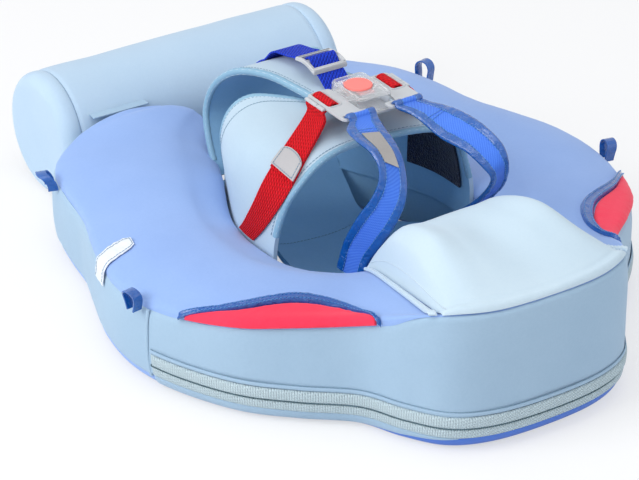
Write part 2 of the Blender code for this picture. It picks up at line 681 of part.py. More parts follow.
def build_bolster(body, looks):
    """The tail bolster: foam, a tube of cover and two rounded ends."""
    core = bolster_profile(COVER_THICKNESS + CLEARANCE)
    shape = [(-a, r) for a, r in reversed(core)] + core
    solid_through("bolster_foam", bolster_rings(shape), looks["foam"], body)
    seam, inner_radius = BOLSTER_HALF_LENGTH - BOLSTER_ROUNDING * 1.6, BOLSTER_RADIUS - COVER_THICKNESS
    places = spread(-seam, seam, 5)
    outer = bolster_rings([(a, BOLSTER_RADIUS) for a in places])
    inner = bolster_rings([(a, inner_radius) for a in places])
    tube_shell("bolster_cover", outer, inner, looks["ice_blue"], body)
    start, flat = seam + CLEARANCE, BOLSTER_RADIUS * BOLSTER_FLAT_SHARE
    outside = [(start, BOLSTER_RADIUS), *bolster_profile(0.0), (BOLSTER_HALF_LENGTH, flat)]
    inside = [(start, inner_radius), *bolster_profile(COVER_THICKNESS)]
    inside.append((BOLSTER_HALF_LENGTH - COVER_THICKNESS, flat))
    for side, sign in SIDES:
        rings = bolster_rings(outside, sign), bolster_rings(inside, sign)
        cup(f"bolster_end_{side}", *rings, looks["ice_blue"], body)


def tube_shell(name, outer, inner, material, body):
    """An open tube with a wall, from its outer and inner rings."""
    count, rows = len(outer[0]), len(outer)
    points = [p for ring in outer for p in ring] + [p for ring in inner for p in ring]
    half = rows * count
    faces = strip_faces(rows, count, wrap=True) + strip_faces(rows, count, flip=True, wrap=True, start=half)
    for first in (0, half - count):
        for k in range(count):
            a, b = first + k, first + (k + 1) % count
            faces += [(a, b, b + half, a + half)]
    return mesh_object(name, points, faces, material, body)


def cup(name, outer, inner, material, body):
    """A cup with a wall: open at its first ring, closed at its last."""
    count, rows = len(outer[0]), len(outer)
    points = [p for ring in outer for p in ring] + [p for ring in inner for p in ring]
    half = rows * count
    faces = strip_faces(rows, count, wrap=True) + strip_faces(rows, count, flip=True, wrap=True, start=half)
    for k in range(count):
        a, b = k, (k + 1) % count
        faces += [(a, b, b + half, a + half)]
    faces.append(tuple(range(half - count, half)))
    faces.append(tuple(range(2 * half - count, 2 * half)))
    return mesh_object(name, points, faces, material, body)


def build_tail_tabs(body, looks):
    """Two short fabric hinges between the arms' top seams and the bolster."""
    height = tail_hinge_height()
    rise = height - BOLSTER_RADIUS
    bolster_face = all_tail_axis() - math.sqrt(BOLSTER_RADIUS ** 2 - rise ** 2)
    near, far = ARM_REACH + WALL_BULGE + CLEARANCE, bolster_face - CLEARANCE * 2
    for side, sign in SIDES:
        middle = sign * TAB_CENTRE
        xs = spread(middle - TAB_HALF_LENGTH, middle + TAB_HALF_LENGTH, 3)
        low = [[Vector((x, y, height - TAB_THICKNESS)) for y in (near, far)] for x in xs]
        high = [[Vector((p.x, p.y, height)) for p in row] for row in low]
        solid_between(f"tail_hinge_tab_{side}", high, low, looks["ice_blue"], body)


def vest_point(outward, tailward, height):
    """A point of the vest from its shares."""
    return Vector((outward * HOLE_HALF_WIDTH, tailward * HOLE_NOSE_REACH, height * HARNESS_HEIGHT))


def hole_wall_point(stations, share, height, lift):
    """A point in front of the hole's wall."""
    place = (share + 1) * RING_STEPS / 2
    start = min(max(int(place), 0), RING_STEPS - 1)
    points = []
    for station in stations[start:start + 2]:
        edge, inward, width = station[:3]
        points.append(edge + inward * (width + lift))
    point = mix(points[0], points[1], place - start)
    return Vector((point.x, point.y, height))


def wing_rows(stations, side, sign):
    """The coarse grid of one wing: rows from tail to nose, columns from the hole's wall up and in."""
    rows = []
    for k, shares in enumerate(WING_SHARES):
        share = sign * WING_PLACE_SHARES[k]
        low = hole_wall_point(stations, share, WING_SEAT_HEIGHT, VEST_THICKNESS / 2 + SEAT_GAP)
        row = [low, Vector((low.x, low.y, HOLE_EDGE_HEIGHT))]
        for column, (outward, tailward, height) in enumerate(shares):
            point = vest_point(sign * outward, tailward, height)
            if side == "b":
                reach = (column + 1) / len(shares)
                point.z -= WING_B_DROP * reach
                point.y += WING_B_SETBACK * reach * k / (len(WING_SHARES) - 1)
            row.append(point)
        rows.append(row)
    return rows


def grid_point(rows, row, column):
    """A point on the smooth surface through a coarse grid."""
    line = [smooth(r, column) for r in rows]
    return Vector(smooth(line, row))


def fine_grid(rows, row_places, column_places):
    """Points of a coarse grid's smooth surface."""
    return [[grid_point(rows, r, c) for c in column_places] for r in row_places]


def facing(grid, toward):
    """The grid, turned so that its normals face a direction."""
    normal = grid_normals(grid)[len(grid) // 2][len(grid[0]) // 2]
    if normal.dot(toward) < 0:
        return [list(reversed(row)) for row in grid]
    return grid


def band_on_wing(rows, route, outward, lift):
    """Rows of points across a strap that lies on a wing, along a route of columns and rows."""
    grid = []
    for column, row in route:
        grid.append([grid_point(rows, row + side * WEBBING_HALF_WIDTH_SHARE, column) for side in BAND_SHARES])
    toward = 1 if grid_normals(grid)[len(grid) // 2][2].dot(outward) > 0 else -1
    return lifted(grid, lift * toward)


def strap_y(rows):
    """Tailward places of the two edges of the waist webbing where it leaves the wing."""
    column, row = WEBBING_ROUTE_SHARES[-1]
    return [grid_point(rows, row + side * WEBBING_HALF_WIDTH_SHARE, column).y for side in (-1, 1)]


def webbing_end(sign, leaving):
    """The free end of the waist webbing, up under the tongue's window."""
    height = buckle_floor() + BLADE_HEIGHT - CLEARANCE * 2 - WEBBING_THICKNESS / 2
    reach = HOUSING_HALF_WIDTH + TONGUE_REACH
    root = HOUSING_HALF_WIDTH + TONGUE_BAR * 2
    half = (leaving[0] - leaving[1]) / 2
    ends = []
    for outward, drop, share in ((reach + GRIP_SIZE * 2, TONGUE_BAR * 2, 0.6), (reach, 0, 1), (root, 0, 1)):
        middle = mix((leaving[0] + leaving[1]) / 2, BUCKLE_Y + sum(tongue_window()[1]) / 2, share)
        x, z = BUCKLE_X + sign * outward, height - drop
        ends.append([Vector((x, middle - side * half, z)) for side in BAND_SHARES])
    return ends


def build_wing(side, sign, stations, body, looks):
    """One wing of the vest with its waist webbing and the grey tab sewn over the webbing."""
    outward = Vector((sign, 0, 0.5))
    rows = wing_rows(stations, side, sign)
    grid = fine_grid(rows, spread(0, 3, 10), spread(0, 6, 16))
    sheet(f"wing_{side}", facing(grid, outward), VEST_THICKNESS, looks["pale_blue"], body)
    lift = VEST_THICKNESS / 2 + WEBBING_THICKNESS / 2 + WEBBING_STANDOFF
    strap = band_on_wing(rows, WEBBING_ROUTE_SHARES, outward, lift) + webbing_end(sign, strap_y(rows))
    sheet(f"waist_webbing_{side}", strap, WEBBING_THICKNESS, looks["red"], body)
    lift += WEBBING_THICKNESS + CLEARANCE
    tab = band_on_wing(rows, TAB_ROUTE_SHARES, outward, lift)
    sheet(f"webbing_tab_{side}", tab, WEBBING_THICKNESS, looks["grey"], body)
    if side == "b":
        patch = fine_grid(rows, spread(*PATCH_ROW_SHARES, 6), spread(*PATCH_COLUMN_SHARES, 7))
        inside = -(VEST_THICKNESS / 2 + WEBBING_THICKNESS / 2 + SEAT_GAP)
        sheet("loop_patch", facing(patch, outward), WEBBING_THICKNESS, looks["navy"], body, inside)


def vest_row(shares, columns):
    """One row across the sling or the flap."""
    half, tailward, height, side_lift = shares
    row = []
    for c in columns:
        row.append(vest_point(half * c, tailward, height + side_lift * c * c))
    return row


def build_sling(stations, body, looks):
    """The seat sling in the hole, and the crotch flap that rises behind and over to the buckle."""
    columns = spread(-1.0, 1.0, 9)
    seat = VEST_THICKNESS / 2 + SEAT_GAP
    rim_height = HOLE_EDGE_HEIGHT - HOLE_ROLL * 1.2
    rim = [hole_wall_point(stations, c * SLING_SPAN_SHARE, rim_height, seat) for c in columns]
    coarse = [rim] + [vest_row(row, columns) for row in SLING_SHARES]
    grid = fine_grid(coarse, spread(0, len(coarse) - 1, 17), range(len(columns)))
    sheet("seat_sling", grid, VEST_THICKNESS, looks["lining"], body)
    coarse = [vest_row(row, columns[::2]) for row in FLAP_SHARES]
    grid = fine_grid(coarse, spread(0, len(coarse) - 1, 18), range(5))
    sheet("crotch_flap", grid, FLAP_THICKNESS, looks["pale_blue"], body)


def strap_start(side, sign):
    """Where a shoulder strap leaves its tongue: the inner and the outer end of the strap."""
    height = buckle_floor() + BLADE_HEIGHT + BLADE_THICKNESS / 2
    y = BUCKLE_Y - TONGUE_FRONT - CLEARANCE * 2
    ends = [Vector((BUCKLE_X + sign * x, y, height)) for x in tongue_slot()[0]]
    return list(reversed(ends)) if side == "a" else ends


def build_strap(side, sign, stations, body, looks):
    """One padded shoulder strap, from its tongue over to the nose wall of the hole."""
    table = STRAP_A_SHARES if side == "a" else STRAP_B_SHARES
    rows = [strap_start(side, sign)]
    for inner, outer in table:
        rows.append([vest_point(sign * p[0], p[1], p[2]) for p in (inner, outer)])
    wall = hole_wall_point(stations, sign * STRAP_PLACE_SHARE, rows[-1][1].z, STRAP_THICKNESS + SEAT_GAP)
    rows[-1][1] = wall
    grid = fine_grid(rows, spread(0, len(rows) - 1, 21), (0.0, 0.5, 1.0))
    sheet(f"shoulder_strap_{side}", grid, STRAP_THICKNESS, looks["royal"], body)


def flap_top(row):
    """Middle of the flap at a row, and its upward normal."""
    coarse = [vest_row(shares, (-1.0, 0.0, 1.0)) for shares in FLAP_SHARES]
    here = grid_point(coarse, row, 1.0)
    tangent = (grid_point(coarse, row + 0.05, 1.0) - grid_point(coarse, row - 0.05, 1.0)).normalized()
    up = Vector((0, -tangent.z, tangent.y))
    return here, up if up.z > 0 else -up


def lock_centre():
    """Centre of the ladder lock."""
    return Vector((BUCKLE_X, BUCKLE_Y + LOCK_DISTANCE, HARNESS_HEIGHT + LOCK_LIFT))


def lock_height(y):
    """Height of the ladder lock's middle surface: arched, and lower towards the buckle."""
    share = min(max(0.5 - y / (LOCK_BAR * 3 + LOCK_WINDOW * 2), 0.0), 1.0)
    return LOCK_BOW * math.sin(math.pi * share) - LOCK_DROP * share


def build_crotch_webbing(body, looks):
    """The webbing from the flap's back, through the ladder lock, to the buckle's lug."""
    centre = lock_centre()
    over = LOCK_THICKNESS / 2 + CLEARANCE * 2 + WEBBING_THICKNESS / 2
    lift = FLAP_THICKNESS / 2 + WEBBING_THICKNESS / 2 + SEAT_GAP
    path = []
    for row in spread(*WEBBING_ROW_SHARES, 8):
        here, up = flap_top(row)
        path.append(here + up * lift)
    reach = LOCK_BAR * 1.5 + LOCK_WINDOW
    for y_share, rise_share in WEBBING_HUMP_SHARES:
        path.append(Vector((BUCKLE_X, HOLE_NOSE_REACH * y_share, HARNESS_HEIGHT * rise_share)))
    near, far = [LOCK_BAR / 2 + LOCK_WINDOW * share for share in LOCK_PASS_SHARES]
    tail = [(reach + LOCK_WINDOW, -over), (reach, -over), (far, -over), (near, over),
            (-near, over), (-far, -over), (-reach, -over)]
    path += [centre + Vector((0, y, lock_height(y) + rise)) for y, rise in tail]
    lug = BUCKLE_Y + housing_rear() + LUG_LENGTH + CLEARANCE * 2
    path.append(Vector((centre.x, lug, buckle_floor() + CLEARANCE + WEBBING_THICKNESS / 2)))
    half = CROTCH_WEBBING_WIDTH / 2
    grid = [[Vector((BUCKLE_X - half, p.y, p.z)), Vector((BUCKLE_X + half, p.y, p.z))] for p in path]
    sheet("crotch_webbing", grid, WEBBING_THICKNESS, looks["webbing_blue"], body)


def plate(name, outline, bottom, thickness, material, body):
    """A flat plate from its plan outline."""
    loops = [[Vector((x, y, z)) for x, y in outline] for z in (bottom, bottom + thickness)]
    return solid_through(name, loops, material, body, 30)


def rounded_outline(half_x, half_y, corner, steps=4):
    """Corners of a rectangle with round corners, about its centre."""
    points = []
    for turn, (sx, sy) in enumerate(((1, 1), (-1, 1), (-1, -1), (1, -1))):
        for k in range(steps + 1):
            angle = math.pi / 2 * (turn + k / steps)
            x = sx * (half_x - corner) + corner * math.cos(angle)
            y = sy * (half_y - corner) + corner * math.sin(angle)
            points.append((x, y))
    return points


def filleted(corners, steps=3):
    """A plan outline with rounded corners, from rows of x, y and the corner's radius."""
    points = []
    for k, (x, y, radius) in enumerate(corners):
        corner = Vector((x, y))
        before, after = Vector(corners[k - 1][:2]), Vector(corners[(k + 1) % len(corners)][:2])
        start = corner + (before - corner).normalized() * radius
        end = corner + (after - corner).normalized() * radius
        for t in spread(0.0, 1.0, steps + 1):
            points.append(tuple(mix(mix(start, corner, t), mix(corner, end, t), t)))
    return points


def soften(piece):
    """Take the sharp edges off a moulded piece."""
    step = piece.modifiers.new("soften", "BEVEL")
    step.width = EDGE_BEVEL
    step.segments = 1
    step.limit_method = "ANGLE"
    step.angle_limit = math.radians(60)


def circle(radius, count):
    """Plan points of a circle."""
    return [(radius * math.cos(a), radius * math.sin(a)) for a in full_turn(count)]


def combine(target, parts, operation):
    """Cut parts out of a solid or join them to it, and hide the parts."""
    for part in parts:
        part.hide_render = True
        part.display_type = "WIRE"
        step = target.modifiers.new(operation.lower(), "BOOLEAN")
        step.operation = operation
        step.solver = "EXACT"
        step.object = part


def block(name, xs, ys, zs, body):
    """A box between two places on each axis, which cuts or joins another piece."""
    points = [Vector((x, y, z)) for z in sorted(zs) for y in sorted(ys) for x in sorted(xs)]
    faces = [(0, 2, 3, 1), (4, 5, 7, 6), (0, 1, 5, 4), (2, 6, 7, 3), (0, 4, 6, 2), (1, 3, 7, 5)]
    return mesh_object(name, points, faces, bpy.data.materials["foam"], body)


def buckle_block(name, xs, ys, heights, body):
    """A box placed about the buckle's centre, with its heights above the buckle's underside."""
    floor = buckle_floor()
    xs, ys = [BUCKLE_X + x for x in xs], [BUCKLE_Y + y for y in ys]
    return block(name, xs, ys, [floor + height for height in heights], body)


def shifted(outline):
    """An outline about the buckle's centre."""
    return [(x + BUCKLE_X, y + BUCKLE_Y) for x, y in outline]


def outline_at(outline, height):
    """An outline about the buckle's centre, at a height above its underside."""
    return [Vector((x, y, buckle_floor() + height)) for x, y in shifted(outline)]


def housing_outline(inset):
    """Plan corners of the housing, which reaches farther towards the nose than behind the button."""
    size = (HOUSING_HALF_WIDTH - inset, HOUSING_HALF_LENGTH - inset, HOUSING_CORNER - max(inset, 0.0))
    return [(x, y - HOUSING_LEAD) for x, y in rounded_outline(*size)]


def housing_rear():
    """Distance of the housing's rear edge from the middle of the button."""
    return HOUSING_HALF_LENGTH - HOUSING_LEAD


def buckle_floor():
    """Height of the underside of the buckle."""
    return HARNESS_HEIGHT + FLAP_THICKNESS / 2 + CLEARANCE


def ear_top():
    """Height of the button's ears above the buckle's underside, just under the cover."""
    return HOUSING_HEIGHT - HOUSING_DISH - HOUSING_WALL - CLEARANCE


def tooth_place():
    """Distance of a latch tooth from the buckle's middle."""
    return HOUSING_HALF_WIDTH - BLADE_DEPTH * TOOTH_DEPTH_SHARE


def build_base(body, looks):
    """The buckle's base plate, with the slotted lug where the crotch webbing ends."""
    outline = shifted(housing_outline(-BASE_LIP))
    base = plate("buckle_base", outline, buckle_floor(), BASE_THICKNESS, looks["grey"], body)
    half = CROTCH_WEBBING_WIDTH / 2
    wide = half + LOCK_BAR / 2
    slim = wide * LUG_TAPER_SHARE
    root, rear = housing_rear() - HOUSING_CORNER, housing_rear() + LUG_LENGTH
    bend = housing_rear() + LUG_LENGTH * LUG_BEND_SHARE
    outline = ((-wide, root), (wide, root), (wide, bend), (slim, rear), (-slim, rear), (-wide, bend))
    lug = plate("buckle_lug", shifted(outline), buckle_floor(), BASE_THICKNESS, looks["grey"], body)
    ys = [housing_rear() + LUG_LENGTH * share for share in LUG_SLOT_SHARES]
    slot = buckle_block("lug_slot", (-half, half), ys, (-BASE_THICKNESS, BASE_THICKNESS * 2), body)
    combine(base, [lug], "UNION")
    combine(base, [slot], "DIFFERENCE")


def build_cover(body, looks):
    """The clear cover over the base plate, with its button hole and its blade slots."""
    cover = shell_cover("buckle_cover", BASE_THICKNESS + CLEARANCE, HOUSING_HEIGHT, looks["clear"], body)
    outline = shifted(circle(BUTTON_RADIUS + BUTTON_GAP, BUTTON_FACETS))
    bottom = buckle_floor() + HOUSING_HEIGHT - HOUSING_DISH - HOUSING_WALL * 2
    hole = plate("button_hole", outline, bottom, HOUSING_WALL * 4, looks["clear"], body)
    gap = CLEARANCE * 1.5
    reach, half = HOUSING_HALF_WIDTH + HOUSING_WALL, BLADE_HALF_WIDTH + gap
    heights = (BLADE_HEIGHT - gap, BLADE_HEIGHT + BLADE_THICKNESS + gap)
    slots = buckle_block("blade_slots", (-reach, reach), (-half, half), heights, body)
    combine(cover, [hole, slots], "DIFFERENCE")


def shell_cover(name, low, top, material, body):
    """A rounded box shell, open underneath, with a shallow dish in its top."""
    soft, dish, loops = HOUSING_WALL, top - HOUSING_DISH, []
    outside = ((0.0, low), (0.0, top - soft), (soft * 0.3, top - soft * 0.3), (soft, top))
    outside += ((soft * 1.5, top), (soft * 2.2, dish))
    inside = ((soft, low), (soft, dish - soft))
    rows = len(outside)
    for inset, height in outside + inside:
        loops.append(outline_at(housing_outline(inset), height))
    count = len(loops[0])
    points = [p for loop in loops for p in loop]
    faces = strip_faces(rows, count, wrap=True)
    faces += strip_faces(2, count, flip=True, wrap=True, start=rows * count)
    faces.append(tuple(range((rows - 1) * count, rows * count)))
    faces.append(tuple(range((rows + 1) * count, (rows + 2) * count)))
    for k in range(count):
        a, b = k, (k + 1) % count
        faces.append((a, b, b + rows * count, a + rows * count))
    return mesh_object(name, points, faces, material, body, 35)


def build_button(body, looks):
    """The round button, with the ears that keep it under the cover."""
    top = HOUSING_HEIGHT - HOUSING_DISH + BUTTON_PROUD
    edge = BUTTON_THICKNESS * BUTTON_EDGE_SHARE
    rows = ((BUTTON_RADIUS, top - BUTTON_THICKNESS), (BUTTON_RADIUS, top - edge), (BUTTON_RADIUS - edge, top))
    loops = [outline_at(circle(radius, BUTTON_FACETS), height) for radius, height in rows]
    button = solid_through("buckle_button", loops, looks["coral"], body, 30)
    reach = BUTTON_RADIUS + EAR_REACH
    heights = (ear_top() - LATCH_THICKNESS, ear_top())
    ears = buckle_block("button_ears", (-EAR_HALF_WIDTH, EAR_HALF_WIDTH), (-reach, reach), heights, body)
    half_x, half_y = EAR_HALF_WIDTH * STEM_SHARES[0], BUTTON_RADIUS * STEM_SHARES[1]
    heights = (ear_top() - LATCH_THICKNESS / 2, top - BUTTON_THICKNESS + edge)
    stem = buckle_block("button_stem", (-half_x, half_x), (-half_y, half_y), heights, body)
    combine(button, [ears, stem], "UNION")


def build_latch(body, looks):
    """The latch plate that hangs from the button: two posts, and a tooth below each tongue's catch."""
    half, low = LATCH_THICKNESS / 2, buckle_floor() + LATCH_HEIGHT
    post_y, tooth_y = BLADE_HALF_WIDTH * POST_PLACE_SHARE, BLADE_HALF_WIDTH * TOOTH_WIDTH_SHARE
    half_x = HOUSING_HALF_WIDTH - HOUSING_WALL - CLEARANCE * 2
    outline = shifted(rounded_outline(half_x, post_y + LATCH_THICKNESS, LATCH_THICKNESS))
    latch = plate("latch_plate", outline, low, LATCH_THICKNESS, looks["steel"], body)
    outline = shifted(circle(SPRING_RADIUS + SPRING_WIRE * 3, BUTTON_FACETS // 2))
    bore = plate("latch_bore", outline, low - LATCH_THICKNESS, LATCH_THICKNESS * 3, looks["steel"], body)
    combine(latch, [bore], "DIFFERENCE")
    root = LATCH_HEIGHT + half
    for side, sign in SIDES:
        xs, ys = (-LATCH_THICKNESS * 2, LATCH_THICKNESS * 2), (sign * post_y - half, sign * post_y + half)
        heights = (root, ear_top() - LATCH_THICKNESS - CLEARANCE)
        post = buckle_block(f"latch_post_{side}", xs, ys, heights, body)
        x = sign * tooth_place()
        heights = (root, BLADE_HEIGHT - CLEARANCE)
        tooth = buckle_block(f"latch_tooth_{side}", (x - half, x + half), (-tooth_y, tooth_y), heights, body)
        combine(latch, [post, tooth], "UNION")


def spring_route():
    """Centre line of the spring's wire, from the base plate up to the button's ears."""
    low = BASE_THICKNESS + CLEARANCE + SPRING_WIRE
    high = ear_top() - LATCH_THICKNESS - CLEARANCE - SPRING_WIRE
    steps = SPRING_TURNS * SPRING_STEPS
    route = []
    for k in range(steps + 1):
        turn = 2 * math.pi * k / SPRING_STEPS
        x, y = SPRING_RADIUS * math.cos(turn), SPRING_RADIUS * math.sin(turn)
        route.append(Vector((BUCKLE_X + x, BUCKLE_Y + y, buckle_floor() + mix(low, high, k / steps))))
    return route


def build_spring(body, looks):
    """The coil spring between the base plate and the button."""
    route = spring_route()
    last = len(route) - 1
    loops = []
    for k, point in enumerate(route):
        tangent = (route[min(k + 1, last)] - route[max(k - 1, 0)]).normalized()
        side = Vector((point.x - BUCKLE_X, point.y - BUCKLE_Y, 0)).normalized()
        up = tangent.cross(side).normalized()
        loops.append([point + side * x + up * y for x, y in circle(SPRING_WIRE, SPRING_SIDES)])
    away = SPRING_STEPS * 2 // 3
    near = [(a - b).length for k, a in enumerate(route) for b in route[k + away:]]
    print(f"button_spring: least gap between turns {(min(near) - 2 * SPRING_WIRE) / MILLIMETRE:.2f} mm")
    solid_through("button_spring", loops, looks["steel"], body)


def tongue_outline():
    """Plan corners of a tongue: blade, frame for the waist webbing, and the lobe for the shoulder strap."""
    root, reach = HOUSING_HALF_WIDTH + CLEARANCE * 2, HOUSING_HALF_WIDTH + TONGUE_REACH
    tip, bar, front = HOUSING_HALF_WIDTH - BLADE_DEPTH, TONGUE_BAR, -TONGUE_FRONT
    lobe, bay = tip - bar * 0.7, -HOUSING_HALF_LENGTH - HOUSING_LEAD - BASE_LIP - CLEARANCE * 3
    return (
        (tip, -BLADE_HALF_WIDTH, bar * 0.4), (root, -BLADE_HALF_WIDTH, bar * 0.3), (root, bay, bar * 0.4),
        (lobe, bay, bar * 0.5), (lobe, front, bar * 1.4), (reach, front, bar * 2.2),
        (reach, TONGUE_REAR, bar * 1.4), (root, TONGUE_REAR, bar * 1.2), (root, BLADE_HALF_WIDTH, bar * 0.3),
        (tip, BLADE_HALF_WIDTH, bar * 0.4),
    )


def tongue_window():
    """Places of the webbing window in a tongue: x near and far, y front and rear."""
    near = HOUSING_HALF_WIDTH + CLEARANCE * 2 + TONGUE_NECK
    rear = TONGUE_REAR - TONGUE_BAR
    return (near, HOUSING_HALF_WIDTH + TONGUE_REACH - TONGUE_BAR), (rear - WINDOW_LENGTH, rear)


def tongue_slot():
    """Places of the strap slot in a tongue's lobe: x near and far, y front and rear."""
    front = TONGUE_BAR - TONGUE_FRONT
    near = HOUSING_HALF_WIDTH - BLADE_DEPTH + TONGUE_BAR * 0.5
    return (near, HOUSING_HALF_WIDTH + TONGUE_REACH - TONGUE_BAR), (front, front + TONGUE_SLOT)


def build_tongue(side, sign, body, looks):
    """One tongue of the buckle, with its webbing window, strap slot and catch."""
    outline = shifted((sign * x, y) for x, y in filleted(tongue_outline()))
    low = buckle_floor() + BLADE_HEIGHT
    tongue = plate(f"tongue_{side}", outline, low, BLADE_THICKNESS, looks["grey"], body)
    place, half = tooth_place(), BLADE_HALF_WIDTH / 2
    catch = (place - LATCH_THICKNESS, place + LATCH_THICKNESS), (-half, half)
    cutters = []
    for name, (xs, ys) in (("window", tongue_window()), ("slot", tongue_slot()), ("catch", catch)):
        radius = min(TONGUE_BAR * 0.5, (xs[1] - xs[0]) * 0.3)
        corners = [(xs[a], ys[b], radius) for a, b in ((0, 0), (1, 0), (1, 1), (0, 1))]
        hole = shifted((sign * x, y) for x, y in filleted(corners))
        bottom = low - BLADE_THICKNESS
        cutters.append(plate(f"tongue_{side}_{name}", hole, bottom, BLADE_THICKNESS * 3, looks["grey"], body))
    combine(tongue, cutters, "DIFFERENCE")
    soften(tongue)


def build_grip(side, sign, body, looks):
    """The notched grip bar along the outer edge of one tongue."""
    start = HOUSING_HALF_WIDTH + TONGUE_REACH + CLEARANCE
    xs = sorted((sign * start, sign * (start + GRIP_SIZE)))
    ys = tongue_window()[1]
    first, last = sum(ys) / 2 - GRIP_LENGTH / 2, sum(ys) / 2 + GRIP_LENGTH / 2
    notch, soft = mix(first, last, GRIP_NOTCH_SHARE), GRIP_SIZE / 4
    rows = [(first, soft), (first + soft, 0.0), (notch - soft * 1.6, 0.0), (notch - soft * 0.6, soft * 1.2),
            (notch + soft * 0.6, soft * 1.2), (notch + soft * 1.6, 0.0), (last - soft, 0.0), (last, soft)]
    loops = []
    for y, inset in rows:
        low, high = BLADE_HEIGHT - BLADE_THICKNESS * 0.3 + inset, BLADE_HEIGHT + GRIP_SIZE * 0.7 - inset
        cut = min(soft, (high - low) / 3)
        corners = [(xs[0], low + cut), (xs[0] + cut, low), (xs[1] - cut, low), (xs[1], low + cut),
                   (xs[1], high - cut), (xs[1] - cut, high), (xs[0] + cut, high), (xs[0], high - cut)]
        loops.append([Vector((BUCKLE_X + x, BUCKLE_Y + y, buckle_floor() + z)) for x, z in corners])
    solid_through(f"tongue_{side}_grip", loops, looks["grey"], body, 30)


def build_ladder_lock(body, looks):
    """The ladder lock on the crotch webbing: an arched plate with two windows and three bars."""
    centre, half = lock_centre(), LOCK_THICKNESS / 2
    reach, soft = LOCK_BAR * 1.5 + LOCK_WINDOW, LOCK_THICKNESS * 0.35
    rim = [(y, -1) for y in spread(-reach, reach, 12)] + [(y, 1) for y in spread(reach, -reach, 12)]
    loops = []
    for x, inset in ((-LOCK_HALF_WIDTH, soft), (soft - LOCK_HALF_WIDTH, 0.0), (LOCK_HALF_WIDTH - soft, 0.0),
                     (LOCK_HALF_WIDTH, soft)):
        ease = 1 - inset / reach
        loops.append([centre + Vector((x, y * ease, lock_height(y) + s * (half - inset))) for y, s in rim])
    lock = solid_through("ladder_lock", loops, looks["grey"], body, 30)
    wide = CROTCH_WEBBING_WIDTH / 2 + CLEARANCE * 3
    deep = LOCK_THICKNESS + LOCK_BOW + LOCK_DROP
    xs, zs = (centre.x - wide, centre.x + wide), (centre.z - deep, centre.z + deep)
    cutters = []
    for name, sign in (("rear", 1), ("front", -1)):
        ys = (centre.y + sign * LOCK_BAR / 2, centre.y + sign * (LOCK_BAR / 2 + LOCK_WINDOW))
        cutters.append(block(f"lock_window_{name}", xs, ys, zs, body))
    combine(lock, cutters, "DIFFERENCE")


def all_finishes():
    """Every finish of the ring, by its plain name."""
    return {
        "foam": finish("foam", (0.92, 0.92, 0.90), 0.9),
        "periwinkle": finish("periwinkle", (0.16, 0.28, 0.80), 0.75),
        "pale_blue": finish("pale_blue", (0.47, 0.66, 0.84), 0.75),
        "ice_blue": finish("ice_blue", (0.58, 0.76, 0.88), 0.75),
        "lining": finish("lining", (0.28, 0.46, 0.64), 0.8),
        "coral": finish("coral", (0.90, 0.06, 0.11), 0.6),
        "gloss_blue": finish("gloss_blue", (0.02, 0.12, 0.42), 0.2),
        "sage": finish("sage", (0.55, 0.68, 0.70), 0.7),
        "teal": finish("teal", (0.32, 0.48, 0.54), 0.6),
        "white": finish("white", (0.85, 0.87, 0.90), 0.7),
        "red": finish("red", (0.75, 0.01, 0.03), 0.7),
        "grey": finish("grey", (0.62, 0.63, 0.64), 0.4),
        "navy": finish("navy", (0.02, 0.03, 0.10), 0.9),
        "royal": finish("royal", (0.04, 0.12, 0.60), 0.5),
        "webbing_blue": finish("webbing_blue", (0.02, 0.07, 0.55), 0.7),
        "clear": finish("clear", (0.80, 0.83, 0.85), 0.1, 0.0, 0.5),
        "steel": finish("steel", (0.7, 0.7, 0.7), 0.3, 1.0),
    }


def main():
    """Build the whole ring."""
    clear_scene()
    looks = all_finishes()
    datum = body_empty("float_body", (0, -middle_of_ring(), 0))
    hinge = (0, ARM_REACH + WALL_BULGE + CLEARANCE, tail_hinge_height())
    tail = body_empty("tail_body", hinge, datum)
    buckle = (BUCKLE_X, BUCKLE_Y, buckle_floor())
    button = body_empty("button_body", buckle, datum)
    lock = body_empty("lock_body", lock_centre() - Vector((0, LOCK_BAR + LOCK_WINDOW, 0)), datum)
    stations = ring_stations()
    build_ring(stations, datum, looks)
    build_pad(stations, datum, looks)
    for side, sign in SIDES:
        build_crescent(side, sign, stations, datum, looks)
        build_wing(side, sign, stations, datum, looks)
        build_strap(side, sign, stations, datum, looks)
        tongue = body_empty(f"tongue_{side}_body", buckle, datum)
        build_tongue(side, sign, tongue, looks)
        build_grip(side, sign, tongue, looks)
    build_zip(stations, datum, looks)
    build_trim(stations, datum, looks)
    build_bolster(tail, looks)
    build_tail_tabs(datum, looks)
    build_sling(stations, datum, looks)
    build_crotch_webbing(datum, looks)
    build_base(datum, looks)
    build_cover(datum, looks)
    build_button(button, looks)
    build_latch(button, looks)
    build_spring(datum, looks)
    build_ladder_lock(lock, looks)


main()
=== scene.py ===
import logging
import math
from dataclasses import dataclass, field
from enum import Enum
from typing import Optional, Sequence

import bpy
import numpy as np
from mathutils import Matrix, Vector, noise


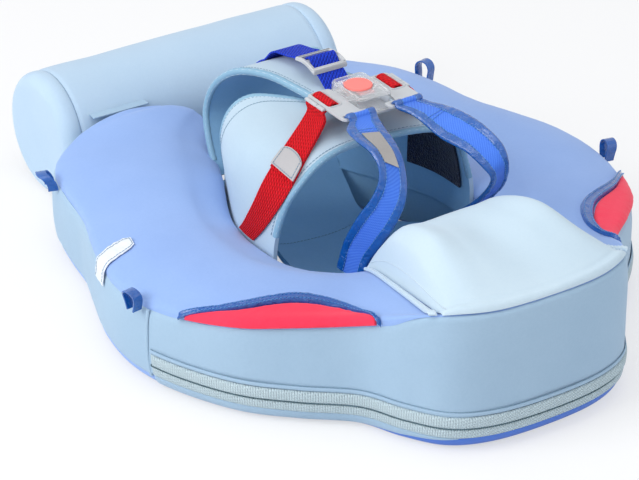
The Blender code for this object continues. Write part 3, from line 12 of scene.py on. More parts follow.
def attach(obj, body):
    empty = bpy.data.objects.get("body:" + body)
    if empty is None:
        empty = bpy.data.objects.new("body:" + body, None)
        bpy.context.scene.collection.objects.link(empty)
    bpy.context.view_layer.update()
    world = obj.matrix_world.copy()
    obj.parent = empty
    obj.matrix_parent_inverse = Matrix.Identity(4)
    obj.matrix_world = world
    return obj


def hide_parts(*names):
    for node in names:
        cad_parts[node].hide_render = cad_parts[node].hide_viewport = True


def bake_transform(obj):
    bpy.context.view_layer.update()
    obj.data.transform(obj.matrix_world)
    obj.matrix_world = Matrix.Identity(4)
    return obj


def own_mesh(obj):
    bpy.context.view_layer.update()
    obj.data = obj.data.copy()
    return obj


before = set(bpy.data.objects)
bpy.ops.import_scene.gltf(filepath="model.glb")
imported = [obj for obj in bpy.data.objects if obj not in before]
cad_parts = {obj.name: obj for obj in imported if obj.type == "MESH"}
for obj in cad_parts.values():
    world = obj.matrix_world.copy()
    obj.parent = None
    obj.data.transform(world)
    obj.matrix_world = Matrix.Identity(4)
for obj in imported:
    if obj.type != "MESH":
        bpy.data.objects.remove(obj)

LOG = logging.getLogger("swim_ring")
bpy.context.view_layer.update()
TINY = 1e-9
UP = (0.0, 0.0, 1.0)

Grid = np.ndarray
Shade = tuple[int, int, int]


class Body(Enum):
    """The moving bodies that the pieces ride on."""

    FLOAT = "float"
    TAIL = "tail"
    TONGUE_A = "tongue_a"
    TONGUE_B = "tongue_b"
    LADDER_LOCK = "ladder_lock"


class Side(Enum):
    """The two sides of the ring: A lies at -X, B at +X."""

    A = "a"
    B = "b"

    @property
    def sign(self) -> int:
        """The side's direction along X."""
        return -1 if self is Side.A else 1

    @property
    def tongue(self) -> Body:
        """The body of the side's tongue."""
        return Body(f"tongue_{self.value}")

    @property
    def outward(self) -> tuple[float, float, float]:
        """The way that the front of a cloth on that side's wing faces."""
        return self.sign, 0.0, 0.5


# Shaders


def linear(shade: Shade) -> tuple[float, ...]:
    """Turn a display colour into the linear values that shaders use.

    Args:
        shade: Red, green and blue, 0 to 255.

    Returns:
        Red, green, blue and an alpha of 1.
    """
    shares = [value / 255 for value in shade]
    return (*(s / 12.92 if s <= 0.04045 else ((s + 0.055) / 1.055) ** 2.4 for s in shares), 1)


class Graph:
    """Adds nodes to a node tree. A socket given as a value is linked."""

    def __init__(self, tree: bpy.types.NodeTree) -> None:
        """Keep the tree."""
        self.tree = tree

    def fill(self, node: bpy.types.Node, values: dict) -> bpy.types.Node:
        """Fill in a node's inputs.

        Args:
            node: The node.
            values: A plain value or an output socket for each input, by its label or number.

        Returns:
            The node.
        """
        for label, value in values.items():
            if isinstance(value, bpy.types.NodeSocket):
                self.tree.links.new(value, node.inputs[label])
            else:
                node.inputs[label].default_value = value
        return node

    def add(self, kind: str, values: dict, **settings: object) -> bpy.types.Node:
        """Add a shader node.

        Args:
            kind: Its type, without the leading ShaderNode.
            values: What its inputs get.
            settings: What its own properties get.

        Returns:
            The node.
        """
        node = self.tree.nodes.new(f"ShaderNode{kind}")
        for label, value in settings.items():
            setattr(node, label, value)
        return self.fill(node, values)

    def group(self, tree: bpy.types.NodeTree, values: dict) -> bpy.types.Node:
        """Place a node group with its own values."""
        return self.add("Group", values, node_tree=tree)


class ShaderGroups:
    """The shader node groups that several finishes share."""

    def __init__(self) -> None:
        """Build every group once."""
        self.made: dict[str, bpy.types.NodeTree] = {}
        self.knit()
        self.weave()
        self.crinkle()
        self.clouding()
        self.painted_edge_highlight()

    def start(self, name: str, inputs: dict[str, float]) -> tuple[Graph, bpy.types.NodeOutputs]:
        """Start a group.

        Args:
            name: The group's name.
            inputs: The usual value of each of its inputs.

        Returns:
            The group's graph, and the sockets that its inputs arrive on.
        """
        tree = bpy.data.node_groups.new(name, "ShaderNodeTree")
        for label, value in inputs.items():
            socket = tree.interface.new_socket(name=label, in_out="INPUT", socket_type="NodeSocketFloat")
            socket.default_value = value
        self.made[name] = tree
        return Graph(tree), tree.nodes.new("NodeGroupInput").outputs

    def finish(self, graph: Graph, **results: bpy.types.NodeSocket) -> None:
        """Put a group's results out."""
        for label in results:
            graph.tree.interface.new_socket(name=label, in_out="OUTPUT", socket_type="NodeSocketFloat")
        graph.fill(graph.tree.nodes.new("NodeGroupOutput"), results)

    def knit(self) -> None:
        """The fine knit face of a stretch fabric: loops of yarn and a soft fuzz."""
        graph, given = self.start("knit_face", {"Scale": 1100.0, "Fuzz Scale": 420.0})
        place = graph.add("TexCoord", {}).outputs["Object"]
        loops = graph.add("TexVoronoi", {"Vector": place, "Scale": given["Scale"]}).outputs["Distance"]
        fuzz = graph.add("TexNoise", {"Vector": place, "Scale": given["Fuzz Scale"], "Detail": 3.0}).outputs["Fac"]
        both = graph.add("Math", {0: loops, 1: fuzz}, operation="ADD").outputs[0]
        self.finish(graph, Height=both, Mask=fuzz)

    def weave(self) -> None:
        """The woven ribs of webbing, along its own length."""
        graph, given = self.start("webbing_weave", {"Rib Scale": 125.0, "Pick Scale": 170.0})
        place = graph.add("UVMap", {}, uv_map="cloth").outputs["UV"]
        ribs, picks = (
            graph.add("TexWave", {"Vector": place, "Scale": given[label], "Distortion": 0.6, "Detail": 1.0},
                      bands_direction=way).outputs["Fac"]
            for label, way in (("Rib Scale", "X"), ("Pick Scale", "DIAGONAL")))
        both = graph.add("Math", {0: picks, 1: 0.6, 2: ribs}, operation="MULTIPLY_ADD").outputs[0]
        self.finish(graph, Height=both, Mask=picks)

    def crinkle(self) -> None:
        """The shallow creases of a glossy coated tape."""
        graph, given = self.start("tape_crinkle", {"Scale": 170.0})
        place = graph.add("TexCoord", {}).outputs["Object"]
        folds = graph.add("TexNoise", {"Vector": place, "Scale": given["Scale"], "Detail": 4.0,
                                       "Distortion": 1.2}).outputs["Fac"]
        self.finish(graph, Height=folds, Mask=folds)

    def clouding(self) -> None:
        """Slow drifts of tone over a large surface."""
        graph, given = self.start("tone_clouding", {"Scale": 9.0})
        place = graph.add("TexCoord", {}).outputs["Object"]
        cloud = graph.add("TexNoise", {"Vector": place, "Scale": given["Scale"], "Detail": 4.0, "Roughness": 0.6})
        ramp = graph.add("MapRange", {"Value": cloud.outputs["Fac"], "From Min": 0.3, "From Max": 0.7})
        self.finish(graph, Mask=ramp.outputs["Result"])

    def painted_edge_highlight(self) -> None:
        """Painted highlight: a lighter colour along convex edges, where light would catch them."""
        graph, given = self.start("painted_edge_highlight", {"Reach": 0.53})
        shape = graph.add("NewGeometry", {}).outputs["Pointiness"]
        ramp = graph.add("MapRange", {"Value": shape, "From Min": 0.5, "From Max": given["Reach"]})
        self.finish(graph, Mask=ramp.outputs["Result"])


@dataclass(frozen=True)
class Finish:
    """One finish: its colours, how it shines and how its surface is textured."""

    name: str
    shade: Shade
    second: Shade
    roughness: float = 0.85
    specular: float = 0.3
    sheen: float = 0.0
    coat: float = 0.0
    metallic: float = 0.0
    transmission: float = 0.0
    ior: float = 1.45
    alpha: float = 1.0
    texture: str = "knit_face"
    scales: tuple[float, ...] = ()
    bump: float = 0.25
    bump_depth: float = 0.0002
    cloud_scale: float = 9.0
    cloud_share: float = 0.5
    # The painted edge highlight's colour, mixed in along convex edges; none where the finish has no highlight.
    edge_highlight_shade: Optional[Shade] = None
    roughness_spread: float = 0.06

    def material(self, groups: dict[str, bpy.types.NodeTree]) -> bpy.types.Material:
        """Build the finish's material.

        Args:
            groups: The shared shader groups.

        Returns:
            The material.
        """
        made = bpy.data.materials.new(self.name)
        made.use_nodes = True
        graph = Graph(made.node_tree)
        surface = graph.group(groups[self.texture], dict(enumerate(self.scales)))
        cloud = graph.group(groups["tone_clouding"], {"Scale": self.cloud_scale}).outputs["Mask"]
        share = graph.add("Mix", {"Factor": self.cloud_share, "A": surface.outputs["Mask"], "B": cloud},
                          data_type="FLOAT").outputs["Result"]
        colour = graph.add("Mix", {"Factor": share, "A": linear(self.shade), "B": linear(self.second)},
                           data_type="RGBA").outputs["Result"]
        # Mix the painted edge highlight in along convex edges.
        if self.edge_highlight_shade is not None:
            highlight_mask = graph.group(groups["painted_edge_highlight"], {}).outputs["Mask"]
            colour = graph.add("Mix", {"Factor": highlight_mask, "A": colour, "B": linear(self.edge_highlight_shade)},
                               data_type="RGBA").outputs["Result"]
        gloss = graph.add("MapRange", {"Value": cloud, "To Min": max(self.roughness - self.roughness_spread, 0.02),
                                       "To Max": min(self.roughness + self.roughness_spread, 1.0)})
        bump = graph.add("Bump", {"Strength": self.bump, "Distance": self.bump_depth,
                                  "Height": surface.outputs["Height"]})
        graph.fill(made.node_tree.nodes["Principled BSDF"], {
            "Base Color": colour, "Roughness": gloss.outputs["Result"], "Normal": bump.outputs["Normal"],
            "Metallic": self.metallic, "Specular IOR Level": self.specular, "Sheen Weight": self.sheen,
            "Sheen Roughness": 0.5, "Coat Weight": self.coat, "Coat Roughness": 0.12,
            "Transmission Weight": self.transmission, "IOR": self.ior, "Alpha": self.alpha})
        return made


MOULDED = (1500.0, 900.0)


@dataclass(frozen=True)
class Palette:
    """Every finish of the ring, by its plain name."""

    periwinkle: Finish = Finish("periwinkle_jersey", (152, 182, 233), (138, 169, 224), sheen=0.2)
    # A darker, more saturated copy of the periwinkle: painted shade for the bottom where it turns under by the
    # floor.
    underside: Finish = Finish("painted_shade_periwinkle_jersey", (84, 128, 214), (72, 114, 204), sheen=0.2)
    band: Finish = Finish("pale_blue_jersey", (166, 193, 215), (152, 180, 204), sheen=0.2)
    ice: Finish = Finish("ice_blue_jersey", (202, 220, 231), (190, 211, 225), sheen=0.2)
    bolster: Finish = Finish("bolster_jersey", (188, 210, 229), (176, 201, 223), sheen=0.2)
    wing: Finish = Finish("wing_jersey", (188, 208, 222), (174, 197, 214), sheen=0.2)
    lining: Finish = Finish("lining_jersey", (150, 196, 228), (132, 180, 216), sheen=0.15)
    coral: Finish = Finish("coral_jersey", (250, 62, 92), (240, 48, 78), sheen=0.2)
    gloss: Finish = Finish("blue_coated_tape", (8, 98, 184), (2, 66, 144), roughness=0.18, specular=0.5,
                           coat=0.7, texture="tape_crinkle", bump=0.8, bump_depth=0.0022)
    teal: Finish = Finish("teal_binding", (146, 184, 206), (122, 162, 190), roughness=0.6)
    sage: Finish = Finish("sage_zip_tape", (202, 219, 225), (176, 196, 205), bump=0.9, bump_depth=0.0007,
                          texture="webbing_weave", scales=(150.0, 240.0), cloud_share=0.3)
    slate: Finish = Finish("zip_coil", (92, 120, 128), (70, 98, 108), roughness=0.5)
    red_webbing: Finish = Finish("red_webbing", (244, 20, 36), (186, 4, 18), roughness=0.7, specular=0.25,
                                 texture="webbing_weave", bump=1.0, bump_depth=0.0011, cloud_share=0.25)
    royal_webbing: Finish = Finish("royal_webbing", (30, 70, 222), (10, 34, 158), roughness=0.7, specular=0.25,
                                   texture="webbing_weave", bump=1.0, bump_depth=0.0011, cloud_share=0.25)
    strap_cloth: Finish = Finish("strap_cloth", (84, 138, 236), (54, 106, 220), roughness=0.65, sheen=0.15,
                                 texture="webbing_weave", scales=(260.0, 200.0), bump=0.5, bump_depth=0.0004,
                                 cloud_share=0.4)
    grey_tab: Finish = Finish("grey_coated_tab", (184, 182, 183), (172, 170, 173), roughness=0.55)
    white_tag: Finish = Finish("white_satin_tag", (232, 236, 242), (216, 222, 232), roughness=0.45,
                               specular=0.5, texture="tape_crinkle", bump=0.3, bump_depth=0.0006)
    reflective: Finish = Finish("reflective_patch", (176, 172, 168), (148, 146, 146), roughness=0.38,
                                metallic=0.35, texture="tape_crinkle", scales=(420.0,), bump_depth=0.0003)
    navy_loop: Finish = Finish("navy_loop_pile", (26, 34, 62), (16, 22, 46), roughness=1.0, sheen=0.3,
                               scales=(700.0, 300.0), bump=1.0, bump_depth=0.0012)
    pale_thread: Finish = Finish("pale_thread", (226, 236, 244), (208, 222, 234), roughness=0.6)
    blue_thread: Finish = Finish("blue_thread", (104, 156, 214), (84, 138, 198), roughness=0.6)
    dark_thread: Finish = Finish("slate_thread", (136, 164, 184), (112, 144, 166), roughness=0.7)
    # The grey plastic carries a painted edge highlight along its convex edges.
    grey_plastic: Finish = Finish("grey_plastic", (130, 134, 140), (120, 124, 131), roughness=0.3,
                                  specular=0.5, scales=MOULDED, bump=0.12, edge_highlight_shade=(190, 193, 197))
    clear_plastic: Finish = Finish("clear_plastic", (244, 246, 248), (236, 240, 243), roughness=0.08,
                                   specular=0.6, transmission=0.6, ior=1.2, alpha=0.5,
                                   scales=(1500.0, 60.0), bump=0.05)
    # The coral button carries a painted edge highlight along its convex edges.
    coral_button: Finish = Finish("coral_button", (228, 42, 40), (216, 34, 34), roughness=0.3, specular=0.5,
                                  coat=0.2, scales=MOULDED, bump=0.1, edge_highlight_shade=(250, 120, 112))
    steel: Finish = Finish("spring_steel", (176, 178, 180), (150, 152, 156), roughness=0.3, metallic=1.0,
                           scales=MOULDED, bump=0.1)


# Curves and grids


def through(rows: Grid, places: np.ndarray) -> Grid:
    """Read a table at places counted in rows, on a smooth curve through the rows.

    Args:
        rows: The table, one entry per row.
        places: Places, counted in rows.

    Returns:
        The values at the places.
    """
    last = len(rows) - 1
    padded = np.concatenate([2 * rows[:1] - rows[1:2], rows, 2 * rows[-1:] - rows[-2:-1]])
    places = np.clip(places, 0, last)
    start = np.minimum(places.astype(int), last - 1)
    t = (places - start).reshape((-1,) + (1,) * (rows.ndim - 1))
    a, b, c, d = (padded[start + k] for k in range(4))
    return 0.5 * (2 * b + (c - a) * t + (2 * a - 5 * b + 4 * c - d) * t ** 2 + (3 * b - 3 * c + d - a) * t ** 3)


def fine_grid(coarse: Grid, row_places: np.ndarray, column_places: np.ndarray) -> Grid:
    """The smooth surface through a coarse grid, at places counted in rows and columns."""
    return through(through(coarse, row_places).transpose(1, 0, 2), column_places).transpose(1, 0, 2)


def between(first: np.ndarray, last: np.ndarray, shares: np.ndarray) -> np.ndarray:
    """The values at shares of the way from the first to the last."""
    return first * (1 - shares) + last * shares


def unit(vectors: np.ndarray) -> np.ndarray:
    """Vectors scaled to length one."""
    return vectors / np.maximum(np.linalg.norm(vectors, axis=-1, keepdims=True), TINY)


def grid_normals(grid: Grid, outward: Optional[Sequence[float]] = None) -> Grid:
    """Unit normals of a grid of points.

    Args:
        grid: The points.
        outward: A direction that the middle normal is turned to.

    Returns:
        One normal per point.
    """
    normals = unit(np.cross(np.gradient(grid, axis=0), np.gradient(grid, axis=1)))
    turned = outward is not None and middle_of(normals) @ np.array(outward) < 0
    return -normals if turned else normals


def middle_of(grid: Grid) -> np.ndarray:
    """The middle point of a grid."""
    return grid[grid.shape[0] // 2, grid.shape[1] // 2]


def lengths(points: np.ndarray, axis: int = 0) -> np.ndarray:
    """Length along each line of points, from its start to each of its points.

    Args:
        points: A path, or a grid whose lines run along the axis.
        axis: The axis.

    Returns:
        One length per point.
    """
    steps = np.linalg.norm(np.diff(points, axis=axis), axis=-1)
    return np.concatenate([np.zeros_like(steps.take([0], axis)), np.cumsum(steps, axis=axis)], axis=axis)


def read_path(path: np.ndarray, run: np.ndarray, places: np.ndarray) -> np.ndarray:
    """Values of a path at places along it, where run is the length at each of its points."""
    return np.stack([np.interp(places, run, path[:, k]) for k in range(3)], axis=1)


def evenly(path: np.ndarray, spacing: float) -> np.ndarray:
    """Points along a path at an even spacing.

    Args:
        path: The path's points.
        spacing: About how far apart the new points lie.

    Returns:
        The new points.
    """
    run = lengths(path)
    count = max(int(round(run[-1] / spacing)), 2)
    return read_path(path, run, np.linspace(0, run[-1], count + 1))


def nearest_values(path: np.ndarray, points: np.ndarray, values: np.ndarray) -> np.ndarray:
    """The values of the nearest path point to each point."""
    return values[np.argmin(np.linalg.norm(points[:, None, :] - path[None, :, :], axis=2), axis=1)]


def wrinkle(grid: Grid, scale: float, seed: float) -> np.ndarray:
    """Smooth noise at the points of a grid, about -1 to 1.

    Args:
        grid: The points.
        scale: Bumps per metre.
        seed: Moves the noise, so that two pieces differ.

    Returns:
        One value per point.
    """
    flat = grid.reshape(-1, 3) * scale + seed
    values = [noise.fractal(Vector(p), 1.0, 2.0, 2, noise_basis="PERLIN_ORIGINAL") for p in flat]
    return np.array(values).reshape(grid.shape[:-1])


def edge_roll(distance: np.ndarray, radius: float) -> np.ndarray:
    """The share of full height that a rolled edge has at a distance from its rim."""
    return np.sqrt(np.clip(1 - (1 - np.clip(distance / radius, 0, 1)) ** 2, 0, 1))


def rim_distance(grid: Grid, sides: Sequence[bool] = (True, True, True, True)) -> np.ndarray:
    """About how far each point of a grid lies from its rim, measured over the grid.

    Args:
        grid: The points.
        sides: Which sides count: first row, last row, first column, last column.

    Returns:
        One distance per point.
    """
    down, across = lengths(grid), lengths(grid, 1)
    ways = (down, down[-1:] - down, across, across[:, -1:] - across)
    return np.minimum.reduce([np.ones(grid.shape[:2])] + [way for way, counts in zip(ways, sides) if counts])


def ring_faces(rings: int, count: int, closed: bool = False) -> list:
    """Faces between rings of points that lie one after the other.

    Args:
        rings: How many rings.
        count: Points in each ring.
        closed: Whether the last ring joins the first; otherwise both are filled.

    Returns:
        Corner numbers of each face.
    """
    faces = []
    for i in range(rings if closed else rings - 1):
        here, ahead = i * count, (i + 1) % rings * count
        for j in range(count):
            k = (j + 1) % count
            faces.append((here + j, here + k, ahead + k, ahead + j))
    if not closed:
        faces += [tuple(reversed(range(count))), tuple(range((rings - 1) * count, rings * count))]
    return faces


def tube_mesh(path: np.ndarray, wide: float | np.ndarray, high: float | np.ndarray,
              normals: Optional[np.ndarray], sides: int, closed: bool) -> tuple[np.ndarray, list]:
    """Points and faces of an oval tube along a path.

    Args:
        path: The centre line.
        wide: Half the width, or one value per point.
        high: Half the height, or one value per point.
        normals: A direction at each point that the height follows; up where none is given.
        sides: Corners of the section.
        closed: Whether the path joins its own start.

    Returns:
        The points and the faces.
    """
    count = len(path)
    ahead = np.roll(path, -1, axis=0) - np.roll(path, 1, axis=0) if closed else np.gradient(path, axis=0)
    along = unit(ahead)
    side = unit(np.cross(along, np.tile(np.array(UP), (count, 1)) if normals is None else normals))
    up = unit(np.cross(side, along))
    turns = np.arange(sides) * 2 * math.pi / sides
    wide, high = (np.broadcast_to(size, (count,))[:, None, None] for size in (wide, high))
    ring = side[:, None, :] * np.cos(turns)[None, :, None] * wide
    ring = ring + up[:, None, :] * np.sin(turns)[None, :, None] * high
    faces = [(f[0], *f[:0:-1]) if len(f) == 4 else f[::-1] for f in ring_faces(count, sides, closed)]
    return (path[:, None, :] + ring).reshape(-1, 3), faces


def closed_between(front: Grid, back: Grid, flip: bool) -> tuple[np.ndarray, list]:
    """Join two grids of points into one closed sheet.

    Args:
        front: The front face.
        back: The back face.
        flip: Whether the faces wind the other way.

    Returns:
        The points, and the faces: the front's, then the back's, then the rim's.
    """
    rows, columns = front.shape[:2]
    half = rows * columns
    corners = [i * columns + j for i in range(rows - 1) for j in range(columns - 1)]
    faces = [(a, a + columns, a + columns + 1, a + 1) for a in corners]
    faces += [tuple(reversed([i + half for i in f])) for f in faces]
    rim = list(range(columns)) + [i * columns + columns - 1 for i in range(1, rows)]
    rim += [(rows - 1) * columns + j for j in range(columns - 2, -1, -1)]
    rim += [i * columns for i in range(rows - 2, 0, -1)]
    faces += [(a, b, b + half, a + half) for a, b in zip(rim, rim[1:] + rim[:1])]
    return np.concatenate([front.reshape(-1, 3), back.reshape(-1, 3)]), [f[::-1] for f in faces] if flip else faces


# Pieces


class Workshop:
    """Turns points and faces into pieces, dresses them and lets them ride."""

    def __init__(self, shift: float) -> None:
        """Lay out the shader groups and the palette.

        Args:
            shift: How far tailward the hole's middle lies from the row frame's origin.
        """
        self.groups = ShaderGroups().made
        self.palette = Palette()
        self.materials: dict[str, bpy.types.Material] = {}
        self.origin = np.array((0.0, shift, 0.0))

    def dye(self, finish: Finish) -> bpy.types.Material:
        """The material of a finish, made when it is first asked for."""
        if finish.name not in self.materials:
            self.materials[finish.name] = finish.material(self.groups)
        return self.materials[finish.name]

    def place(self, point: Sequence[float]) -> tuple[float, ...]:
        """A point of the hole's frame in the row frame."""
        return tuple(float(a + b) for a, b in zip(point, self.origin))

    def piece(self, name: str, points: np.ndarray, faces: Sequence[Sequence[int]], finish: Finish,
              replaces: Sequence[str] = (), body: Body = Body.FLOAT, uv: Optional[np.ndarray] = None,
              sharp: float = 50.0) -> bpy.types.Object:
        """Make one piece from its points and faces.

        Args:
            name: The piece's name.
            points: Points in the hole's frame.
            faces: Corner numbers of each face.
            finish: The piece's finish.
            replaces: The CAD nodes it stands for.
            body: The body it rides on.
            uv: A place on the cloth for each point, in metres.
            sharp: Angle in degrees above which an edge stays sharp.

        Returns:
            The piece.
        """
        mesh = bpy.data.meshes.new(name)
        mesh.from_pydata((points + self.origin).tolist(), [], [tuple(int(i) for i in f) for f in faces])
        mesh.validate()
        mesh.shade_smooth()
        mesh.set_sharp_from_angle(angle=math.radians(sharp))
        if uv is not None:
            corners = np.empty(len(mesh.loops), dtype=np.int32)
            mesh.loops.foreach_get("vertex_index", corners)
            layer = mesh.uv_layers.new(name="cloth")
            layer.data.foreach_set("uv", uv[corners].astype(np.float32).ravel())
        mesh.materials.append(self.dye(finish))
        made = bpy.data.objects.new(name, mesh)
        bpy.context.scene.collection.objects.link(made)
        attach(made, body.value)
        if replaces:
            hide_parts(*replaces)
        return made

    def shell(self, name: str, front: Grid, back: Grid, outward: Grid | Sequence[float], finish: Finish,
              replaces: Sequence[str] = (), body: Body = Body.FLOAT,
              uv: Optional[tuple[np.ndarray, np.ndarray]] = None) -> bpy.types.Object:
        """A closed piece between two grids of points.

        Args:
            name: The piece's name.
            front: The front face.
            back: The back face.
            outward: The way the front faces: one direction, or one at each point.
            finish: Its finish.
            replaces: The CAD nodes it stands for.
            body: The body it rides on.
            uv: The cloth's two coordinates, which spread over the grid.

        Returns:
            The piece.
        """
        way = middle_of(np.broadcast_to(outward, front.shape))
        points, faces = closed_between(front, back, middle_of(grid_normals(front)) @ way < 0)
        if uv is not None:
            flat = np.stack(np.broadcast_arrays(*uv), axis=2).reshape(-1, 2)
            uv = np.concatenate([flat, flat])
        return self.piece(name, points, faces, finish, replaces, body, uv)

    def sheet(self, name: str, grid: Grid, thickness: float, finish: Finish, replaces: Sequence[str] = (),
              outward: Optional[Sequence[float]] = None, relief: float | np.ndarray = 0.0,
              back_finish: Optional[Finish] = None, held: str = "",
              body: Body = Body.FLOAT) -> bpy.types.Object:
        """A closed sheet of one thickness about a grid of points.

        Args:
            name: The piece's name.
            grid: Rows and columns of points.
            thickness: The sheet's thickness.
            finish: Its finish.
            replaces: The CAD nodes it stands for.
            outward: A direction that the front faces.
            relief: Extra height of the front face at each point.
            back_finish: The finish of the back face, where it differs.
            held: How a cut sheet of cloth is held; not used.
            body: The body it rides on.

        Returns:
            The piece.
        """
        normals = grid_normals(grid, outward)
        rows, columns = grid.shape[:2]
        raised = np.broadcast_to(relief, (rows, columns))[..., None]
        across, down = lengths(grid[rows // 2]), lengths(grid[:, columns // 2])
        front, back = grid + normals * (thickness / 2 + raised), grid - normals * (thickness / 2)
        made = self.shell(name, front, back, normals, finish, replaces, body, (across[None, :], down[:, None]))
        if back_finish is not None:
            made.data.materials.append(self.dye(back_finish))
            count = (rows - 1) * (columns - 1)
            for number in range(count, 2 * count):
                made.data.polygons[number].material_index = 1
        return made

    def tube(self, name: str, path: np.ndarray, wide: float | np.ndarray, high: float | np.ndarray, finish: Finish,
             normals: Optional[np.ndarray] = None, sides: int = 8, closed: bool = False,
             replaces: Sequence[str] = (), body: Body = Body.FLOAT) -> bpy.types.Object:
        """A rope-like piece of oval section along a path.

        Args:
            name: The piece's name.
            path: The centre line.
            wide: Half the width, square to the normals.
            high: Half the height, along the normals.
            finish: Its finish.
            normals: A direction at each point that the height follows.
            sides: Corners of the section.
            closed: Whether the path joins its own start.
            replaces: The CAD nodes it stands for.
            body: The body it rides on.

        Returns:
            The piece.
        """
        points, faces = tube_mesh(path, wide, high, normals, sides, closed)
        return self.piece(name, points, faces, finish, replaces, body)

    def many(self, name: str, parts: Sequence[tuple[np.ndarray, list]], finish: Finish,
             replaces: Sequence[str] = (), sharp: float = 50.0) -> bpy.types.Object:
        """One piece made of many small ones of the same count of points.

        Args:
            name: The piece's name.
            parts: Points and faces of each.
            finish: Their finish.
            replaces: The CAD nodes they stand for.
            sharp: Angle in degrees above which an edge stays sharp.

        Returns:
            The piece.
        """
        faces = [tuple(i + len(points) * k for i in f) for k, (points, part) in enumerate(parts) for f in part]
        return self.piece(name, np.concatenate([p for p, _ in parts]), faces, finish, replaces, sharp=sharp)

    def stitches(self, name: str, path: np.ndarray, normals: np.ndarray, finish: Finish,
                 pitch: float = 0.0036, share: float = 0.68, radius: float = 0.00032) -> bpy.types.Object:
        """A row of stitches along a path.

        Args:
            name: The piece's name.
            path: The line of the seam, on the cloth's face.
            normals: The cloth's normals along the path.
            finish: The thread's finish.
            pitch: Length of one stitch with its gap.
            share: Part of the pitch that shows thread.
            radius: Radius of the thread.

        Returns:
            The piece.
        """
        run = lengths(path)
        arch = np.array((-0.6, 0.35, 0.6, 0.35, -0.6))[:, None] * radius
        parts = []
        for k in range(max(int(run[-1] / pitch), 1)):
            spots = (k + np.array((0.0, 0.25, 0.5, 0.75, 1.0)) * share) * pitch
            up = unit(read_path(normals, run, spots))
            parts.append(tube_mesh(read_path(path, run, spots) + up * arch, radius, radius * 0.8, up, 5, False))
        return self.many(name, parts, finish, sharp=180.0)


# The ring's own form


